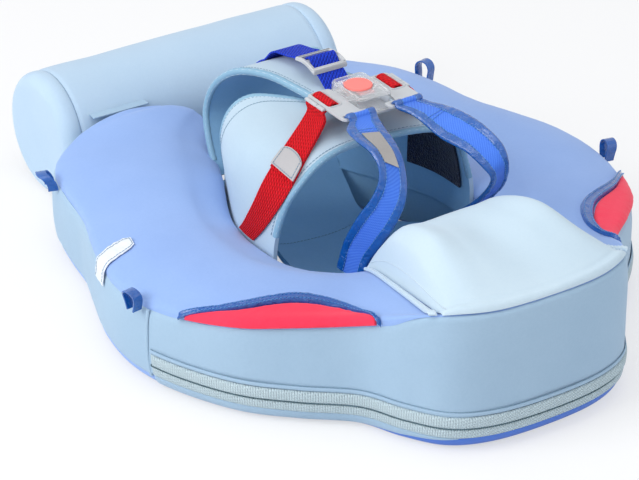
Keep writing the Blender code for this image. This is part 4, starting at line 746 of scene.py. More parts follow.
@dataclass
class RingForm:
    """The ring's skin as a smooth surface: a share of the way round, and a corner number round the section.

    A share of -1 is arm end A, 0 the nose and 1 arm end B. The numbers are those of the section's corners.
    """

    half_width: float = 0.238
    nose_reach: float = 0.287
    arm_reach: float = 0.2345
    hole_half_width: float = 0.103
    hole_nose_reach: float = 0.104
    hole_tail_reach: float = 0.212
    side_height: float = 0.077
    nose_height: float = 0.125
    hole_edge_height: float = 0.081
    crown: float = 0.013
    wall_bulge: float = 0.002
    foot_radius: float = 0.018
    seam_roll: float = 0.008
    hole_roll: float = 0.014
    steps_round: int = 352
    steps_between_corners: int = 8
    foot_seam: int = 2
    top_seam: float = 5.5
    pad_seam: float = 6.0
    pad_share: float = 0.136
    seam_run: float = 0.055
    hole_seam: int = 14
    hole_foot: int = 16
    eased_corners: tuple = (9.0, 13.6)
    easing_rounds: int = 60
    edge_shares: tuple = (
        (0.000, -1.000), (0.208, -0.986), (0.354, -0.934), (0.450, -0.829), (0.529, -0.704),
        (0.688, -0.592), (0.833, -0.467), (0.950, -0.279), (1.000, -0.105), (0.983, 0.085),
        (0.925, 0.277), (0.867, 0.448), (0.833, 0.640), (0.790, 0.808), (0.715, 0.908),
        (0.583, 0.976), (0.417, 1.000), (0.280, 0.999), (0.190, 0.985),
    )
    hole_shares: tuple = (
        (0.000, -1.000), (0.272, -0.990), (0.485, -0.942), (0.621, -0.904), (0.728, -0.837),
        (0.835, -0.750), (0.913, -0.635), (0.971, -0.481), (1.000, -0.269), (1.000, 0.000),
        (0.951, 0.142), (0.854, 0.264), (0.728, 0.392), (0.602, 0.519), (0.505, 0.637),
        (0.417, 0.755), (0.340, 0.849), (0.285, 0.915), (0.252, 0.965),
    )
    rise_shares: tuple = (
        (1.00, 0.0), (0.99, 0.0), (0.97, 0.0), (0.78, 0.1), (0.48, 0.3),
        (0.36, 0.6), (0.22, 0.8), (0.06, 0.9), (0.00, 1.0), (0.00, 1.0),
        (0.00, 1.0), (0.00, 1.0), (0.00, 1.0), (0.00, 1.0), (0.04, 0.9),
        (0.18, 0.7), (0.30, 0.5), (0.26, 0.4), (0.14, 0.3),
    )
    skin: Grid = field(init=False)
    normals: Grid = field(init=False)
    hole_line: np.ndarray = field(init=False)
    inward: np.ndarray = field(init=False)

    def __post_init__(self) -> None:
        """Work the skin out from the tables."""
        outer = self._whole(self.edge_shares, self.half_width, self.nose_reach, self.arm_reach)
        inner = self._whole(self.hole_shares, self.hole_half_width, self.hole_nose_reach, self.hole_tail_reach)
        rise = np.array(tuple(reversed(self.rise_shares[1:])) + self.rise_shares)
        places = np.linspace(0, len(outer) - 1, self.steps_round + 1)
        edge, hole, rise = through(outer, places), through(inner, places), through(rise, places)
        width = np.linalg.norm(hole - edge, axis=1)
        self.inward = (hole - edge) / width[:, None]
        self.hole_line = hole
        seam = self.side_height + (self.nose_height - self.side_height) * rise[:, 0]
        corners = self._corners(width, seam, self.crown * rise[:, 1])
        round_line = self._eased(rounded_section(corners, self.steps_between_corners))
        flat = edge[:, None, :] + self.inward[:, None, :] * round_line[..., :1]
        self.skin = np.concatenate([flat, round_line[..., 1:]], axis=2)
        down = np.gradient(self.skin, axis=0)
        across = np.roll(self.skin, -1, axis=1) - np.roll(self.skin, 1, axis=1)
        normals = unit(np.cross(down, across))
        middle = self.steps_round // 2
        top = int(10 * self.steps_between_corners)
        self.normals = normals * (1 if normals[middle, top, 2] > 0 else -1)

    @staticmethod
    def _whole(shares: Sequence, half_width: float, nose_reach: float, tail_reach: float) -> np.ndarray:
        """The plan points of an edge, side A first, from the half table's shares."""
        half = np.array([(x * half_width, y * (nose_reach if y < 0 else tail_reach)) for x, y in shares])
        return np.concatenate([half[:0:-1] * (-1, 1), half])

    def _eased(self, line: np.ndarray) -> np.ndarray:
        """Ease the section's turn into the hole's rolled edge.

        Args:
            line: The section's line at each station.

        Returns:
            The eased line.
        """
        first, last = (int(corner * self.steps_between_corners) for corner in self.eased_corners)
        share = np.sin(np.linspace(0, math.pi, last - first))[None, :, None] ** 0.5
        for _ in range(self.easing_rounds):
            middle = (line[:, first - 1:last - 1] + line[:, first + 1:last + 1]) / 2
            line[:, first:last] += (middle - line[:, first:last]) * 0.5 * share
        return line

    def _corners(self, width: np.ndarray, seam: np.ndarray, crown: np.ndarray) -> np.ndarray:
        """The section's corners at each station.

        Args:
            width: From the outer edge to the hole.
            seam: Height of the top seam.
            crown: How far the top swells between seam and hole.

        Returns:
            Distance in from the outer edge, and height, of each corner.
        """
        foot = np.minimum(self.foot_radius, width * 0.35)
        roll = np.minimum(self.seam_roll, width * 0.12)
        lip = np.minimum(self.hole_roll, width * 0.11)
        rise = self.hole_edge_height - seam
        bulge, edge = self.wall_bulge, self.hole_edge_height

        def top(distance: np.ndarray, share: float) -> tuple[np.ndarray, np.ndarray]:
            """A corner on the top, with its share of the crown."""
            return distance, seam + rise * distance / width + crown * share

        zero = np.zeros_like(width)
        corners = [
            (foot, zero), (foot * 0.42, foot * 0.14), (foot * 0.1, foot * 0.6),
            (zero - bulge * 0.5, foot * 1.3), (zero - bulge, seam * 0.6), (zero - bulge * 0.4, seam * 0.86),
            (roll * 0.35, seam), top(roll * 1.8, 0.42), top(width * 0.28, 0.85), top(width * 0.5, 1.0),
            top(width * 0.74, 0.82), top(width - lip * 2.2, 0.45), (width - lip * 0.9, edge - lip * 0.04),
            (width - lip * 0.15, edge - lip * 0.45), (width, edge - lip * 1.3),
            (width, foot), (width - foot * 0.2, foot * 0.3), (width - foot, zero),
        ]
        return np.stack([np.stack(c, axis=1) for c in corners], axis=1)

    def at(self, shares: np.ndarray, numbers: np.ndarray, lift: float | np.ndarray = 0.0) -> np.ndarray:
        """Points of the skin.

        Args:
            shares: Shares of the way round.
            numbers: Corner numbers, of the same shape.
            lift: Height above the skin.

        Returns:
            One point for each pair.
        """
        shares, numbers = np.broadcast_arrays(np.asarray(shares, float), np.asarray(numbers, float))
        lift = np.broadcast_to(lift, shares.shape)[..., None]
        return self._read(self.skin, shares, numbers) + self.facing(shares, numbers) * lift

    def facing(self, shares: np.ndarray, numbers: np.ndarray) -> np.ndarray:
        """Unit normals of the skin at shares and corner numbers."""
        shares, numbers = np.broadcast_arrays(np.asarray(shares, float), np.asarray(numbers, float))
        return unit(self._read(self.normals, shares, numbers))

    def _read(self, table: Grid, shares: np.ndarray, numbers: np.ndarray) -> np.ndarray:
        """Values of a dense table between its points.

        Args:
            table: One value for each point of the skin.
            shares: Shares of the way round.
            numbers: Corner numbers.

        Returns:
            One value for each pair.
        """
        u = np.clip((shares + 1) / 2 * self.steps_round, 0, self.steps_round - TINY)
        v = np.mod(numbers * self.steps_between_corners, table.shape[1])
        i, j = u.astype(int), v.astype(int) % table.shape[1]
        p, q = (u - i)[..., None], (v - np.floor(v))[..., None]
        k = (j + 1) % table.shape[1]
        low, high = between(table[i, j], table[i, k], q), between(table[i + 1, j], table[i + 1, k], q)
        return between(low, high, p)

    def top_line(self, shares: np.ndarray) -> np.ndarray:
        """The top seam's corner numbers: high before the chest pad, lower along the sides."""
        away = np.clip((np.abs(shares) - self.pad_share) / self.seam_run, 0, 1)
        return self.pad_seam - (self.pad_seam - self.top_seam) * away * away * (3 - 2 * away)

    def number_at_height(self, share: float, height: float) -> float:
        """The corner number on the outer wall at a height."""
        numbers = np.linspace(1, self.top_seam, 81)
        return float(np.interp(height, self.at(np.full(81, share), numbers)[:, 2], numbers))

    def hole_wall(self, share: float, height: float, lift: float) -> np.ndarray:
        """A point in front of the hole's wall.

        Args:
            share: Share of the way round.
            height: Height of the point.
            lift: Distance from the wall.

        Returns:
            The point.
        """
        u = min(max((share + 1) / 2 * self.steps_round, 0), self.steps_round - TINY)
        i, p = int(u), u - int(u)
        line = self.hole_line[i:i + 2] + self.inward[i:i + 2] * lift
        return np.array((*between(line[0], line[1], p), height))

    def tail_axis(self, clearance: float, radius: float) -> float:
        """Tailward place of the bolster's axis."""
        return self.arm_reach + self.wall_bulge * 0.7 + clearance + radius


def rounded_section(corners: np.ndarray, steps: int) -> np.ndarray:
    """A closed smooth line through the corners of each station's section.

    Args:
        corners: Stations, corners, and two coordinates.
        steps: Points from one corner to the next.

    Returns:
        Stations, points and two coordinates.
    """
    before, after = np.roll(corners, 1, axis=1), np.roll(corners, -1, axis=1)
    beyond = np.roll(corners, -2, axis=1)
    gaps = [np.sqrt(np.linalg.norm(b - a, axis=2, keepdims=True)) + TINY
            for a, b in ((before, corners), (corners, after), (after, beyond))]
    one = (corners - before) / gaps[0] - (after - before) / (gaps[0] + gaps[1]) + (after - corners) / gaps[1]
    two = (after - corners) / gaps[1] - (beyond - corners) / (gaps[1] + gaps[2]) + (beyond - after) / gaps[2]
    one, two = one * gaps[1], two * gaps[1]
    rows = []
    for k in range(steps):
        t = k / steps
        rows.append(corners * (2 * t ** 3 - 3 * t ** 2 + 1) + one * (t ** 3 - 2 * t ** 2 + t)
                    + after * (3 * t ** 2 - 2 * t ** 3) + two * (t ** 3 - t ** 2))
    return np.stack(rows, axis=2).reshape(corners.shape[0], -1, 2)


@dataclass
class RingCovers:
    """The fabric panels round the foam, with their drawn-in seams."""

    shop: Workshop
    form: RingForm
    thickness: float = 0.0022
    tuck: float = 0.0011
    tuck_reach: float = 0.0028
    pucker: float = 0.00045
    pucker_reach: float = 0.011
    pucker_scale: float = 95.0
    drift: float = 0.0011
    drift_scale: float = 11.0
    drift_sink: float = 0.35
    row_count: int = 353
    column_steps: int = 9
    end_dome: float = 0.0022
    end_scales: tuple = (1.0, 0.985, 0.95, 0.85, 0.6, 0.3, 0.08)
    side_seam_share: float = 0.415

    def build(self) -> None:
        """Make the top, the side band, the hole's lining, the bottom and the arm ends."""
        finishes = self.shop.palette
        form = self.form
        self.panel("top_cover_cloth", form.top_seam, form.hole_seam, finishes.periwinkle,
                   ("top_cover", "foam_core"), 3.0)
        self.panel("side_band_cloth", form.foot_seam, form.top_seam, finishes.band, ("side_band",), 11.0)
        self.panel("hole_lining_cloth", form.hole_seam, form.hole_foot, finishes.lining, ("hole_lining",), 23.0)
        self.panel("bottom_cloth", form.hole_foot, form.foot_seam + 18, finishes.periwinkle,
                   ("bottom_panel",), 37.0, flat_foot=True)
        for side in Side:
            self.arm_end(side)
            self.side_seam(side)

    def panel(self, name: str, first: float, last: float, finish: Finish, replaces: Sequence[str], seed: float,
              flat_foot: bool = False) -> None:
        """One panel between two seams of the section.

        Args:
            name: The piece's name.
            first: The corner number of its first seam.
            last: The corner number of its last seam.
            finish: Its finish.
            replaces: The CAD nodes it stands for.
            seed: Moves its wrinkles.
            flat_foot: Whether it keeps flat for the floor.
        """
        shares = np.linspace(-1, 1, self.row_count)
        seams = [self.form.top_line(shares) if seam == self.form.top_seam else np.full(len(shares), float(seam))
                 for seam in (first, last)]
        across = np.linspace(0, 1, round((last - first) * self.column_steps) + 1)
        v = between(seams[0][:, None], seams[1][:, None], across)
        u = np.broadcast_to(shares[:, None], v.shape)
        grid, normals = self.form.at(u, v), self.form.facing(u, v)
        run = lengths(grid, 1)
        edge = np.minimum(run, run[:, -1:] - run)
        height = -self.tuck * np.exp(-(edge / self.tuck_reach) ** 2)
        if not flat_foot:
            height += self.pucker * wrinkle(grid, self.pucker_scale, seed) * np.exp(-edge / self.pucker_reach)
            height += self.drift * (wrinkle(grid, self.drift_scale, seed) - self.drift_sink)
        front = grid + normals * height[..., None]
        back = front - normals * self.thickness
        if flat_foot:
            front[..., 2] = np.maximum(front[..., 2], 0.0)
            back[..., 2] = np.maximum(back[..., 2], front[..., 2] + self.thickness * 0.5)
        self.shop.shell(name, front, back, normals, finish, replaces)

    def arm_end(self, side: Side) -> None:
        """The domed panel that closes one arm.

        Args:
            side: The arm's side.
        """
        count = self.form.skin.shape[1]
        numbers = np.arange(count) / self.form.steps_between_corners
        rim = self.form.at(np.full(count, float(side.sign)), numbers)
        centre = rim.mean(axis=0)
        inner = self.form.at(np.full(count, side.sign * 0.99), numbers).mean(axis=0)
        away = unit((centre - inner) * (1, 1, 0))
        rings = []
        for scale in self.end_scales:
            dome = self.end_dome * math.sqrt(max(1 - scale ** 2, 0.0))
            rings.append(centre + (rim - centre) * scale + away * (dome - self.end_dome * 0.15))
        faces = [f[::-side.sign] for f in ring_faces(len(rings), count)]
        self.shop.piece(f"arm_end_cloth_{side.value}", np.concatenate(rings), faces,
                        self.shop.palette.periwinkle, (f"arm_end_panel_{side.value}",))

    def side_seam(self, side: Side) -> None:
        """The piped seam that runs up the side band at one corner.

        Args:
            side: The seam's side.
        """
        numbers = np.linspace(self.form.foot_seam, self.form.top_seam, 60)
        shares = np.full(60, side.sign * self.side_seam_share)
        self.shop.tube(f"side_seam_{side.value}", self.form.at(shares, numbers, 0.0002), 0.0016, 0.0009,
                       self.shop.palette.band, self.form.facing(shares, numbers))


@dataclass
class ChestPad:
    """The raised, scooped chest pad on the nose, and the bindings beside it."""

    shop: Workshop
    form: RingForm
    rise: float = 0.055
    skin: float = 0.0022
    seat: float = 0.0006
    span_share: float = 0.122
    edge_radius: float = 0.0050
    drift: float = 0.0016
    drift_scale: float = 14.0
    drift_calm: float = 0.03
    ripple: float = 0.0005
    ripple_scale: float = 90.0
    ripple_reach: float = 0.012
    stitch_spacing: float = 0.0012
    binding_gap_share: float = 0.006
    binding_share: float = 0.010
    binding_height: float = 0.0024
    row_numbers: tuple = (6.05, 7.0, 8.0, 9.0, 10.0, 11.0, 12.0, 12.7)
    column_shares: tuple = (0.0, 0.35, 0.65, 0.87, 1.0)
    rise_shares: tuple = (
        (0.02, 0.02, 0.02, 0.02, 0.0),
        (0.11, 0.13, 0.13, 0.09, 0.0),
        (0.36, 0.43, 0.47, 0.32, 0.0),
        (0.58, 0.70, 0.79, 0.54, 0.0),
        (0.73, 0.76, 0.78, 0.55, 0.0),
        (0.65, 0.63, 0.60, 0.40, 0.0),
        (0.41, 0.38, 0.31, 0.22, 0.0),
        (0.11, 0.10, 0.10, 0.08, 0.0),
    )

    def build(self) -> None:
        """Make the pad's cloth and its two bindings."""
        self.cloth()
        for side in Side:
            self.binding(side)

    def rise_at(self, rows: np.ndarray, columns: np.ndarray) -> np.ndarray:
        """The pad's rise above the ring.

        Args:
            rows: Places counted in rows of the table.
            columns: Shares of the half span, signed.

        Returns:
            One rise for each row and column.
        """
        half = np.array(self.rise_shares)
        whole = np.concatenate([half[:, :0:-1], half], axis=1)
        middle = len(self.column_shares) - 1
        places = np.interp(np.abs(columns), self.column_shares, range(middle + 1))
        table = through(whole, rows)
        return np.maximum(through(table.T, middle + np.sign(columns) * places).T, 0.0) * self.rise

    def cloth(self) -> None:
        """The pad's cover, a crowned cloth with two shoulders and a scoop, and its stitched side edges."""
        rows, columns = np.linspace(0, 7, 99), np.linspace(-1, 1, 121)
        numbers = through(np.array(self.row_numbers), rows)
        u, v = np.meshgrid(columns * self.span_share, numbers, indexing="xy")
        base = self.form.at(u, v, self.seat)
        rise = self.rise_at(rows, columns) + self.skin
        far = rim_distance(base)
        drift = wrinkle(base, self.drift_scale, 5.0) * self.drift * edge_roll(far, self.drift_calm)
        ripple = wrinkle(base, self.ripple_scale, 8.0) * self.ripple * np.exp(-far / self.ripple_reach)
        rise = (rise + drift + ripple) * edge_roll(far, self.edge_radius)
        crest = base + np.array(UP) * rise[..., None]
        under = base - np.array(UP) * self.seat * 0.5
        made = self.shop.shell("chest_pad_cloth", crest, under, UP, self.shop.palette.ice,
                               ("chest_pad_cover", "chest_pad_foam"))
        for side, column in ((Side.A, 3), (Side.B, -4)):
            self.row_of_stitches(f"pad_stitches_{side.value}", crest[4:-8, column], 0.0004)

    def row_of_stitches(self, name: str, line: np.ndarray, lift: float) -> None:
        """A row of pale stitches that face up.

        Args:
            name: The piece's name.
            line: The seam's line.
            lift: Height above the line.
        """
        path = evenly(line, self.stitch_spacing)
        normals = np.tile(np.array(UP), (len(path), 1))
        self.shop.stitches(name, path + normals * lift, normals, self.shop.palette.pale_thread)

    def binding(self, side: Side) -> None:
        """The binding beside the pad on one side, with its stitches.

        Args:
            side: The pad's side.
        """
        first = side.sign * (self.span_share + self.binding_gap_share)
        shares = first + side.sign * np.linspace(0, 1, 7) * self.binding_share
        numbers = np.linspace(self.row_numbers[0], self.row_numbers[-2], 80)
        u, v = np.meshgrid(shares, numbers, indexing="xy")
        profile = self.binding_height * (0.75 + 0.25 * np.sin(np.linspace(0, math.pi, 7)))
        low = self.form.at(u, v, self.seat)
        high = self.form.at(u, v, self.seat + profile[None, :])
        self.shop.shell(f"pad_binding_cloth_{side.value}", high, low, UP, self.shop.palette.ice,
                        (f"pad_binding_{side.value}",))
        for column in (1, 5):
            self.row_of_stitches(f"pad_binding_stitches_{side.value}_{column}", high[:, column], 0.0002)


@dataclass
class CrescentPanels:
    """The red crescents on the front corners, with their glossy bindings."""

    shop: Workshop
    form: RingForm
    nose_share: float = 0.198
    side_share: float = 0.382
    depth_share: float = 2.0
    lift: float = 0.0007
    thickness: float = 0.0013
    binding_number: float = 0.54
    binding_height: float = 0.0030
    panel_roll: float = 0.0018
    tape_roll: float = 0.0014
    pucker_scale: float = 210.0
    pucker: float = 0.0005
    pucker_reach: float = 0.006
    crease_scale: float = 260.0
    crease: float = 0.0003
    channel_depth: float = 0.28
    channel_reach: float = 0.16
    stitch_columns: tuple = (2, 6)

    def build(self) -> None:
        """Make both crescents."""
        for side in Side:
            self.panel(side)
            self.binding(side)

    def reach(self, along: np.ndarray) -> np.ndarray:
        """How far the panel reaches in from the seam, in corner numbers, along its span."""
        arch = np.sin(math.pi * np.clip(along, 0, 1) ** 0.84) ** 0.8
        return self.form.top_seam + 0.2 + self.depth_share * arch

    def panel(self, side: Side) -> None:
        """One red panel with puckers along its seam.

        Args:
            side: The panel's side.
        """
        along = np.linspace(0.03, 0.97, 121)
        shares = side.sign * (self.nose_share + (self.side_share - self.nose_share) * along)
        top = self.form.top_seam
        across = np.linspace(0, 1, 22)
        numbers = top + 0.10 + (self.reach(along) - 0.04 - top - 0.10)[:, None] * across[None, :]
        u = np.broadcast_to(shares[:, None], numbers.shape)
        base = self.form.at(u, numbers)
        far = rim_distance(base)
        pucker = wrinkle(base, self.pucker_scale, 3.0) * self.pucker * np.exp(-far / self.pucker_reach)
        height = self.lift + (self.thickness + pucker) * edge_roll(far, self.panel_roll)
        front = self.form.at(u, numbers, height)
        back = self.form.at(u, numbers, self.lift * 0.4)
        self.shop.shell(f"crescent_cloth_{side.value}", front, back, UP, self.shop.palette.coral,
                        (f"red_panel_{side.value}",))

    def binding(self, side: Side) -> None:
        """The glossy tape along one crescent's inner edge, with its two rows of stitches.

        Args:
            side: The crescent's side.
        """
        along = np.linspace(0.0, 1.0, 161)
        shares = side.sign * (self.nose_share + (self.side_share - self.nose_share) * along)
        across = np.linspace(0, 1, 9)
        inner = self.reach(along) - 0.24 * (1 - np.sin(math.pi * along) ** 0.8)
        numbers = inner[:, None] + across[None, :] * self.binding_number
        u = np.broadcast_to(shares[:, None], numbers.shape)
        base = self.form.at(u, numbers)
        channel = 1 - self.channel_depth * np.exp(-((across[None, :] - 0.5) / self.channel_reach) ** 2)
        crease = wrinkle(base, self.crease_scale, 9.0) * self.crease
        rolled = edge_roll(rim_distance(base), self.tape_roll)
        height = self.lift + (self.binding_height * channel + crease) * rolled
        front = self.form.at(u, numbers, height)
        back = self.form.at(u, numbers, self.lift * 0.5)
        palette = self.shop.palette
        self.shop.shell(f"crescent_tape_{side.value}", front, back, UP, palette.gloss,
                        (f"crescent_binding_{side.value}",))
        for column in self.stitch_columns:
            path = evenly(front[2:-2, column], 0.001)
            normals = nearest_values(front[:, column], path, self.form.facing(u, numbers)[:, column])
            self.shop.stitches(f"crescent_stitches_{side.value}_{column}", path + normals * 0.0001, normals,
                               palette.blue_thread, 0.0032)


@dataclass
class ZipRound:
    """The zip round the nose: a ribbed tape over its coil, a lower tape, and the stitched fold above."""

    shop: Workshop
    form: RingForm
    height: float = 0.0235
    tape_width: float = 0.0085
    teeth_width: float = 0.0036
    slit: float = 0.0011
    clearance: float = 0.0003
    span_share: float = 0.411
    fold_rise: float = 0.0042
    tooth_pitch: float = 0.0017
    underlap: float = 0.0030
    underlap_end: float = -0.10
    underlap_taper: float = 0.55
    upper_thickness: float = 0.0019
    lower_thickness: float = 0.0011
    fold_thickness: float = 0.0007
    foot_thickness: float = 0.0003
    underlap_thickness: float = 0.0008
    tape_roll: float = 0.0010
    tooth_width: float = 0.00055
    tooth_height: float = 0.0004
    round_steps: int = 260

    def build(self) -> None:
        """Make the tapes, the coil and the stitched fold."""
        palette = self.shop.palette
        half = self.teeth_width / 2
        upper = (self.height - half + self.slit, self.height + half + self.tape_width)
        lower = (self.height - half - self.clearance - self.tape_width, self.height - half + self.slit * 0.1)
        self.band("zip_tape_upper_cloth", upper, self.upper_thickness, palette.sage, ("zip_tape_upper",))
        self.band("zip_tape_lower_cloth", lower, self.lower_thickness, palette.sage, ("zip_tape_lower",))
        self.coil(lower[1], upper[0] + self.teeth_width * 0.4)
        top = upper[1] + self.fold_rise
        self.band("zip_fold", (upper[1] + 0.0006, top), self.fold_thickness, palette.band, ())
        path, normals = self.line(top + 0.0006, self.clearance)
        self.shop.stitches("zip_fold_line", path, normals, palette.dark_thread, 0.003, 0.9, 0.00026)
        # The foot strip below the zip takes the darker underside blue: painted shade where the periwinkle bottom
        # turns under.
        self.band("zip_foot_painted_shade", (self.underlap, lower[0] - 0.0002), self.foot_thickness, palette.underside, ())
        self.band("zip_underlap", (self.underlap - 0.0003, lower[0] - 0.0001), self.underlap_thickness,
                  palette.band, (), (-self.span_share, self.underlap_end), self.underlap_taper)

    def line(self, height: float, lift: float) -> tuple[np.ndarray, np.ndarray]:
        """A line round the nose.

        Args:
            height: Its height.
            lift: How far it stands off the wall.

        Returns:
            The line, and the skin's normals along it.
        """
        shares = np.linspace(-self.span_share, self.span_share, self.round_steps)
        numbers = np.array([self.form.number_at_height(s, height) for s in shares])
        return self.form.at(shares, numbers, lift), self.form.facing(shares, numbers)

    def band(self, name: str, heights: tuple[float, float], thickness: float, finish: Finish,
             replaces: Sequence[str], span: Optional[tuple[float, float]] = None,
             taper: float = 1.0) -> None:
        """One tape between two heights on the wall.

        Args:
            name: The piece's name.
            heights: Its lower and upper edge.
            thickness: How far it stands off the wall.
            finish: Its finish.
            replaces: The CAD nodes it stands for.
            span: The shares of the round where it starts and ends; the whole zip's where none is given.
            taper: The share of its run after which its lower edge rises to a point; 1 where it doesn't.
        """
        shares = np.linspace(*(span or (-self.span_share, self.span_share)), self.round_steps)
        run = np.linspace(0, 1, self.round_steps)
        risen = np.clip((run - taper) / max(1 - taper, TINY), 0, 1) ** 1.5 * 0.95
        lows = heights[0] + (heights[1] - heights[0]) * risen * (taper < 1)
        levels = lows[:, None] + (heights[1] - lows)[:, None] * np.linspace(0, 1, 6)
        numbers = np.array([[self.form.number_at_height(s, h) for h in row] for s, row in zip(shares, levels)])
        u = np.broadcast_to(shares[:, None], numbers.shape)
        base = self.form.at(u, numbers)
        rolled = self.clearance + thickness * edge_roll(rim_distance(base), self.tape_roll)
        front = self.form.at(u, numbers, rolled)
        back = self.form.at(u, numbers, self.clearance * 0.3)
        self.shop.shell(name, front, back, self.form.facing(u, numbers), finish, replaces,
                        uv=(lengths(base[:, 3])[:, None], levels))

    def coil(self, low: float, high: float) -> None:
        """The row of teeth in the slit, each a small bar across it.

        Args:
            low: Height of the bars' lower ends.
            high: Height of their upper ends.
        """
        bottom, normals = self.line(low, self.clearance * 2)
        top, _ = self.line(high, self.clearance * 2)
        run = lengths(bottom)
        spots = np.arange(0, run[-1], self.tooth_pitch)
        teeth = []
        for a, b, up in zip(*(read_path(line, run, spots) for line in (bottom, top, normals))):
            path = np.stack([a, (a + b) / 2 + up * self.tooth_height, b])
            teeth.append(tube_mesh(path, self.tooth_width, self.tooth_height, np.tile(up, (3, 1)), 5, False))
        self.shop.many("zip_coil", teeth, self.shop.palette.slate, ("zip_teeth",))


@dataclass
class SmallTrim:
    """The canopy loops and the bare care tag."""

    shop: Workshop
    form: RingForm
    gauge: float = 0.0016
    strip: float = 0.009
    half_span: float = 0.0085
    rise: float = 0.0125
    drop: float = 0.007
    standoff: float = 0.0003
    tag_width: float = 0.0145
    tag_share: float = -0.512
    tag_skew: float = 0.011
    tag_clip: float = 7.5
    tag_thickness: float = 0.0006
    tag_lift: float = 0.0009
    tag_waves: float = 0.0016
    loops: tuple = ((Side.A, "rear", 0.700, 0.009, 0.80), (Side.A, "front", 0.428, 0.003, 0.40),
                    (Side.B, "rear", 0.700, 0.001, 0.75), (Side.B, "front", 0.428, 0.002, 0.45))

    def build(self) -> None:
        """Make four loops and the tag."""
        for side, place, share, lean, pinch in self.loops:
            self.loop(side, place, side.sign * share, lean, pinch)
        self.tag()

    def loop(self, side: Side, place: str, share: float, lean: float, pinch: float) -> None:
        """One loop of folded glossy tape.

        Args:
            side: The loop's side.
            place: Front or rear.
            share: Its share of the way round.
            lean: How far its top leans out.
            pinch: Its width at the foot, as a share of its width at the top.
        """
        seam = self.form.at(np.array([share]), np.array([6.0]), 0.0006)[0]
        ahead, behind = (self.form.at(np.array([share + d]), np.array([6.0]))[0] for d in (0.01, -0.01))
        along = unit((ahead - behind) * (1, 1, 0))
        out = np.array((along[1], -along[0], 0.0))
        if out @ (seam * (1, 1, 0)) < 0:
            out = -out
        centre = seam + out * (self.strip / 2 + self.form.wall_bulge + self.standoff)
        straight = self.rise - self.half_span
        turns = np.linspace(0, math.pi, 15)
        arch = [(-self.half_span * math.cos(t), straight + self.half_span * math.sin(t)) for t in turns]
        legs = np.linspace(-self.drop, straight, 8)[:-1]
        path = [(-self.half_span, z) for z in legs] + arch + [(self.half_span, z) for z in legs[::-1]]
        across = np.linspace(-0.5, 0.5, 7) * self.strip
        rises = [(b + self.drop) / (self.rise + self.drop) for _, b in path]
        grid = np.array([[centre + along * a * (pinch + (1 - pinch) * r)
                          + np.array((0, 0, b - lean * r ** 2 * 0.5)) + out * (c + lean * r ** 2)
                          for c in across] for (a, b), r in zip(path, rises)])
        fold = np.cos(across / self.strip * 2 * math.pi) * 0.0004
        relief = fold[None, :] + wrinkle(grid, 240.0, share * 9) * 0.0004
        self.shop.sheet(f"canopy_loop_tape_{side.value}_{place}", grid, self.gauge, self.shop.palette.gloss,
                        (f"canopy_loop_{side.value}_{place}",), relief=relief)

    def tag(self) -> None:
        """The white satin tag folded over the outer seam."""
        half = self.tag_width / (self.form.half_width * 5)
        numbers = np.linspace(4.85, 7.75, 60)
        halves = half * (1 - 0.4 * np.clip((numbers - self.tag_clip) / (numbers[-1] - self.tag_clip), 0, 1))
        middles = np.linspace(self.tag_share + self.tag_skew, self.tag_share, 60)
        u = middles[:, None] + halves[:, None] * np.linspace(-1, 1, 9)
        v = np.broadcast_to(numbers[:, None], u.shape)
        base = self.form.at(u, v)
        lift = self.tag_lift + np.abs(wrinkle(base, 90.0, 2.0)) * self.tag_waves
        grid = self.form.at(u, v, lift)
        outward = np.array((-1, -0.3, 0.6))
        self.shop.sheet("care_tag_satin", grid, self.tag_thickness, self.shop.palette.white_tag,
                        ("care_tag",), outward=outward, held="draped")
        normals = grid_normals(grid, outward)
        ring = [(i, 1) for i in range(1, 59)] + [(58, j) for j in range(1, 8)] + [(i, 7) for i in range(58, 0, -1)]
        path = np.array([grid[spot] + normals[spot] * 0.0004 for spot in ring])
        self.shop.stitches("care_tag_stitches", path, np.array([normals[spot] for spot in ring]),
                           self.shop.palette.dark_thread, 0.003, 0.9)


